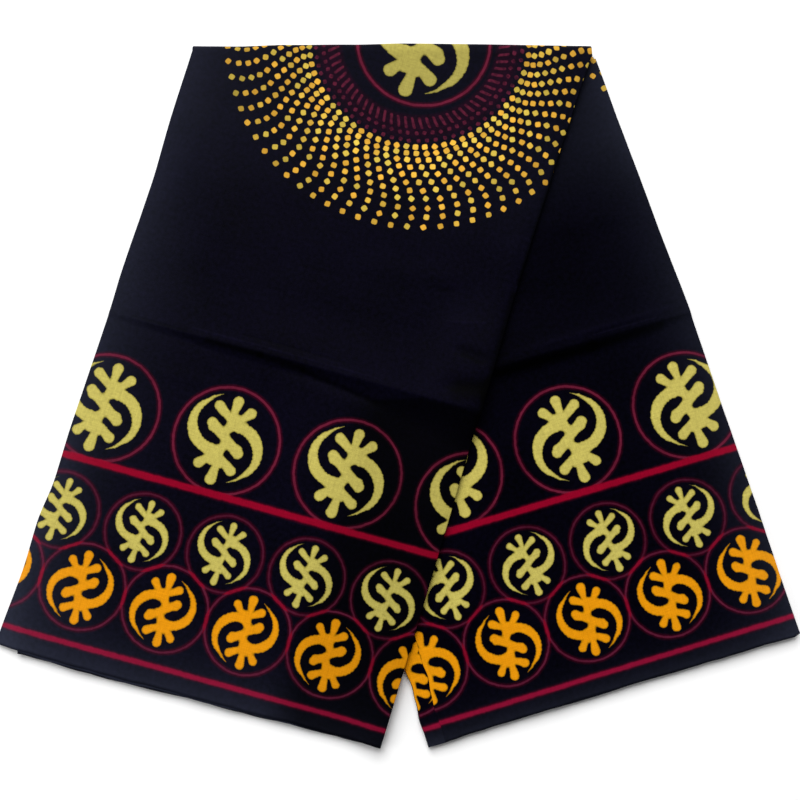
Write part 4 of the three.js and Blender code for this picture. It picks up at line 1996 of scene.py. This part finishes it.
@dataclass(frozen=True)
class PrintedCotton:
    """Finish of printed cotton seen from one face.

    side is 1 on the printed face and -1 on the reverse. The starts are where along the selvage
    a ring of the small and of the large row lies, and middle is that of the sunburst.
    registration shifts the whole print, and ground is how light the ground is. Painted highlights
    and shade, along its borders, over one patch and on its creases, are laid into its colour.
    """

    name: str
    side: float
    small_start: float
    large_start: float
    middle: Pair
    burst_turn: float  # degrees
    registration: Pair = (0.0, 0.0)
    ground: float = 1.0
    specular: float = 0.015
    sheen: float = 0.003
    painted_shading: PaintedShading = PaintedShading()
    creases: tuple[ShadedCrease, ...] = ()
    cotton: Cotton = Cotton()

    def marks(self, bench: Bench, cloth: Socket) -> Number:
        """Depth of the fine creases, for their relief and their painted shade and highlights.

        Args:
            bench: where to add it.
            cloth: the place on the cloth.

        Returns:
            The depth, below 0 on crests with a painted highlight.
        """
        total = 0.0
        for crease in self.creases:
            gap = Stroke(crease.start, crease.end).gap(bench, cloth)
            total = bench.linear(bench.ramp(gap, crease.width, 0.0), crease.depth, total)
        return total

    def shade(
        self, bench: Bench, bare: Socket, weave: bpy.types.Node, depth: Socket, mark: Number
    ) -> Socket:
        """How bright the print's colour is, with painted shade and highlights in it.

        Args:
            bench: where to add it.
            bare: 1 on the ground and 0 on full ink.
            weave: the weave group's node.
            depth: strength of the painted shade.
            mark: depth of the fine creases, for their painted shade and highlights.

        Returns:
            The factor.
        """
        cotton, dye = self.cotton, weave.outputs["Dye"]
        ink = bench.linear(dye, *cotton.ink_mottle)
        ground = bench.most(bench.linear(dye, *cotton.ground_mottle), cotton.ground_least)
        painted_shade = bench.times(depth, bench.linear(bare, *cotton.painted_shade_on_ground))
        crease = bench.linear(bare, *cotton.crease_shade_on_ground)
        dark = bench.times(bench.least(mark, cotton.crease_shade_most), crease)
        return reduce(bench.times, [
            bench.blend(bare, ink, ground),
            bench.linear(weave.outputs["Threads"], *cotton.thread_shade),
            bench.minus(1.0, painted_shade),
            bench.linear(bare, self.ground - 1.0, 1.0),
            bench.minus(1.0, dark),
        ])

    def build(self, effects: ClothEffects) -> bpy.types.Material:
        """Makes the material.

        Args:
            effects: the shared node groups.

        Returns:
            The material.
        """
        material = bpy.data.materials.new(self.name)
        material.use_nodes = True
        tree = material.node_tree
        tree.nodes.clear()
        bench, cotton = Bench(tree), self.cotton
        cloth = bench.node("UVMap", uv_map=PRINT_MAP).outputs[0]
        design = bench.group(effects.design, {
            "Cloth": bench.vector("ADD", cloth, (*self.registration, 0.0)),
            "Side": self.side, "Small Start": self.small_start, "Large Start": self.large_start,
            "Middle": (*self.middle, 0.0), "Burst Turn": math.radians(self.burst_turn),
        }).outputs
        weave = bench.group(effects.weave, {"Cloth": cloth})
        dye = weave.outputs["Dye"]
        # painted highlights along the borders and top, and painted shade over one patch
        painted_shading = bench.group(effects.painted_shading, {"Cloth": cloth} | self.painted_shading.values()).outputs
        # depth of the fine creases, for their relief and their painted shade and highlights
        mark = self.marks(bench, cloth)
        bare = bench.minus(1.0, design["Ink"])
        shade = self.shade(bench, bare, weave, painted_shading["Depth"], mark)
        # the painted highlights are added to the colour
        painted_light = bench.times(painted_shading["Lift"], bench.linear(dye, *cotton.painted_light_mottle))
        painted_light = bench.times(painted_light, bench.linear(bare, *cotton.painted_light_on_ground))
        colour = bench.vector("ADD", bench.scale(design["Color"], shade),
                              bench.scale(bench.join(*cotton.painted_light_colour), painted_light))
        rough = bench.linear(design["Ink"], cotton.ink_roughness, cotton.roughness)
        rough = bench.linear(dye, cotton.dye_roughness, rough)
        height = bench.linear(mark, cotton.crease_relief, weave.outputs["Height"])
        bump = bench.node("Bump", {
            "Strength": cotton.bump_strength, "Distance": cotton.bump_height, "Height": height,
        })
        shader = bench.node("BsdfPrincipled", {
            "Base Color": colour, "Roughness": rough, "Normal": bump.outputs[0],
            "Specular IOR Level": self.specular, "Sheen Weight": self.sheen,
            "Sheen Roughness": cotton.sheen_roughness, "Sheen Tint": (*cotton.sheen_tint, 1.0),
        })
        output = bench.node("OutputMaterial", {"Surface": shader.outputs[0]})
        output.is_active_output = True
        return material


# painted shade along troughs, among them below the packing crease and along the front's rolled right edge,
# and painted highlights where the depth is below 0
FRONT_CREASES = table(
    ShadedCrease,
    ((323, 349.5), (341, 346.5), 3.4, 0.6),
    ((322, 355), (345, 353), 7.0, 0.45),
    ((328, 320), (348, 325), 16.0, 0.85),
    ((288, 402), (300, 404), 4.0, 0.35),
    ((303, 375), (336, 383), 2.2, -0.35),
    ((351, 280), (354.5, 415), 7.0, 0.75),
    ((355, 425), (361.5, 575), 3.2, 0.8),
    ((30, 306.5), (80, 306), 2.4, 0.5),
    ((100, 303), (150, 302.5), 5.0, 0.7),
    ((150, 302), (190, 299.5), 4.6, 0.5),
    ((190, 298.5), (262, 288), 4.2, 0.5),
    ((85, 310), (250, 309), 1.8, -0.45),
    ((130, 315.5), (224, 315), 2.0, 0.25),
)
# painted shade below the packing crease, and painted highlights where the depth is below 0
BACK_CREASES = table(
    ShadedCrease,
    ((150, 299), (240, 298), 8.0, 0.9),
    ((240, 298), (306, 299), 7.0, 0.8),
    ((306, 301), (328, 302.5), 4.5, 0.5),
    ((244, 307.6), (304, 307.2), 1.5, -0.6),
    ((170, 312), (320, 313), 5.0, -0.35),
)


# ----- The table, the lights and the camera -----


@dataclass(frozen=True)
class Softbox:
    """A square soft light that points at the cloth."""

    name: str
    place: tuple[float, float, float]
    size: float
    power: float

    def build(self, target: Vector) -> None:
        """Adds the light.

        Args:
            target: what it points at.
        """
        light = bpy.data.lights.new(self.name, "AREA")
        light.shape = "SQUARE"
        light.size = self.size
        light.energy = self.power
        lamp = bpy.data.objects.new(self.name, light)
        lamp.location = self.place
        lamp.rotation_euler = (target - Vector(self.place)).to_track_quat("-Z", "Y").to_euler()
        bpy.context.scene.collection.objects.link(lamp)


@dataclass(frozen=True)
class Studio:
    """A pale floor, soft light and a camera nearly straight above the cloth."""

    floor_size: float = 6.0
    floor_drop: float = 0.0002  # keeps it clear of the cloth's underside
    floor_roughness: float = 0.9
    floor_colour: Colour = (0.97, 0.97, 0.97)
    sky: float = 0.12
    distance: float = 0.9
    pitch: float = 4.5
    yaw: float = 1.26
    lens: float = 44.92
    target: tuple[float, float, float] = (-0.00285, -0.00869, 0.0)
    boxes: tuple[Softbox, ...] = (
        Softbox("key_box", (-0.9, 3.7, 4.0), 4.6, 470.0),
        Softbox("left_box", (-2.2, 0.0, 1.2), 1.2, 14.0),
        Softbox("right_box", (2.2, -0.2, 1.2), 1.2, 6.0),
    )

    def build(self) -> None:
        """Adds the floor, lights and camera."""
        scene = bpy.context.scene
        scene.view_settings.view_transform = "Standard"
        self.floor()
        for box in self.boxes:
            box.build(Vector(self.target))
        world = bpy.data.worlds.new("studio")
        world.use_nodes = True
        sky = world.node_tree.nodes["Background"]
        sky.inputs["Color"].default_value = (1.0, 1.0, 1.0, 1.0)
        sky.inputs["Strength"].default_value = self.sky
        scene.world = world
        data = bpy.data.cameras.new("camera")
        data.lens = self.lens
        camera = bpy.data.objects.new("camera", data)
        turn = Euler((math.radians(self.pitch), math.radians(-self.yaw), 0.0), "XYZ")
        camera.rotation_euler = turn
        camera.location = Vector(self.target) + turn.to_matrix() @ Vector((0.0, 0.0, self.distance))
        scene.collection.objects.link(camera)
        scene.camera = camera

    def floor(self) -> None:
        """Adds the floor."""
        bpy.ops.object.select_all(action="DESELECT")
        bpy.ops.mesh.primitive_plane_add(size=self.floor_size, location=(0.0, 0.0, -self.floor_drop))
        floor = bpy.context.object
        floor.name = "floor"
        material = bpy.data.materials.new("floor_paper")
        material.use_nodes = True
        shader = material.node_tree.nodes["Principled BSDF"]
        shader.inputs["Base Color"].default_value = (*self.floor_colour, 1.0)
        shader.inputs["Roughness"].default_value = self.floor_roughness
        floor.data.materials.append(material)


class FoldedCloth:
    """The whole cloth: its three pieces and their materials.

    The front sheet is 0.03 m longer than its half, because it goes on round the turned fold.
    """

    def __init__(self) -> None:
        """Makes the node groups and the strip's rules."""
        self.strip = FoldedStrip()
        self.effects = ClothEffects()

    def finish_piece(
        self, piece: Piece, finishes: tuple[PrintedCotton, ...], nodes: tuple[str, ...]
    ) -> None:
        """Dresses a piece and says which nodes it stands for.

        Args:
            piece: the piece.
            finishes: its finishes, in the order of its faces' material numbers.
            nodes: the frame's nodes that it replaces.
        """
        for finish in finishes:
            piece.data.materials.append(finish.build(self.effects))
        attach(piece, "root")
        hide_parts(*nodes)
        LOG.info("%s: %d faces", piece.name, len(piece.data.polygons))

    def build(self) -> None:
        """Builds the three pieces."""
        # Both faces get painted highlights along their borders and top; the front also gets painted shade
        # right of its middle, below its packing crease.
        face = PrintedCotton(
            "printed_face", side=1.0, small_start=55.0, large_start=29.9, middle=(210.1, 621.4),
            burst_turn=-15.25, registration=(0.0, 1.5),
            painted_shading=PaintedShading(EdgeHighlight(0.023, 28.0), EdgeHighlight(), EdgeHighlight(0.0195, 24.0), 0.0022, 420.0, 0.9),
            creases=FRONT_CREASES,
        )
        reverse = PrintedCotton(
            "printed_reverse", side=-1.0, small_start=16.0, large_start=84.0, middle=(477.2, 603.2),
            burst_turn=4.7, registration=(0.0, -1.7), ground=0.62, specular=0.008, sheen=0.0015,
            painted_shading=PaintedShading(EdgeHighlight(), EdgeHighlight(0.0155, 22.0), EdgeHighlight(0.0180, 12.0), 0.0045, 400.0),
            creases=BACK_CREASES,
        )
        # painted highlight along the layers' selvage, which lightens the shade under the sheets' edges
        lower = PaintedShading(selvage=EdgeHighlight(0.030, 9.0))
        front_edges = replace(face, name="front_layer_edges", painted_shading=lower, creases=())
        back_edges = replace(
            reverse, name="back_layer_edges", painted_shading=lower, creases=(), registration=(16.2, -0.4)
        )
        stack = LayerStack(self.strip).build()
        self.finish_piece(stack, (front_edges, back_edges), ("front_layers", "back_layers"))
        front = FrontSheet(self.strip, FRONT, "front_sheet", True).build()
        self.finish_piece(front, (face,), ("front_panel",))
        back = TopSheet(self.strip, BACK, "back_sheet", False).build()
        self.finish_piece(back, (reverse,), ("back_panel",))


def main() -> None:
    """Builds the cloth and the studio."""
    logging.basicConfig(level=logging.INFO, format="%(message)s")
    FoldedCloth().build()
    Studio().build()


if __name__ == "__main__":
    main()
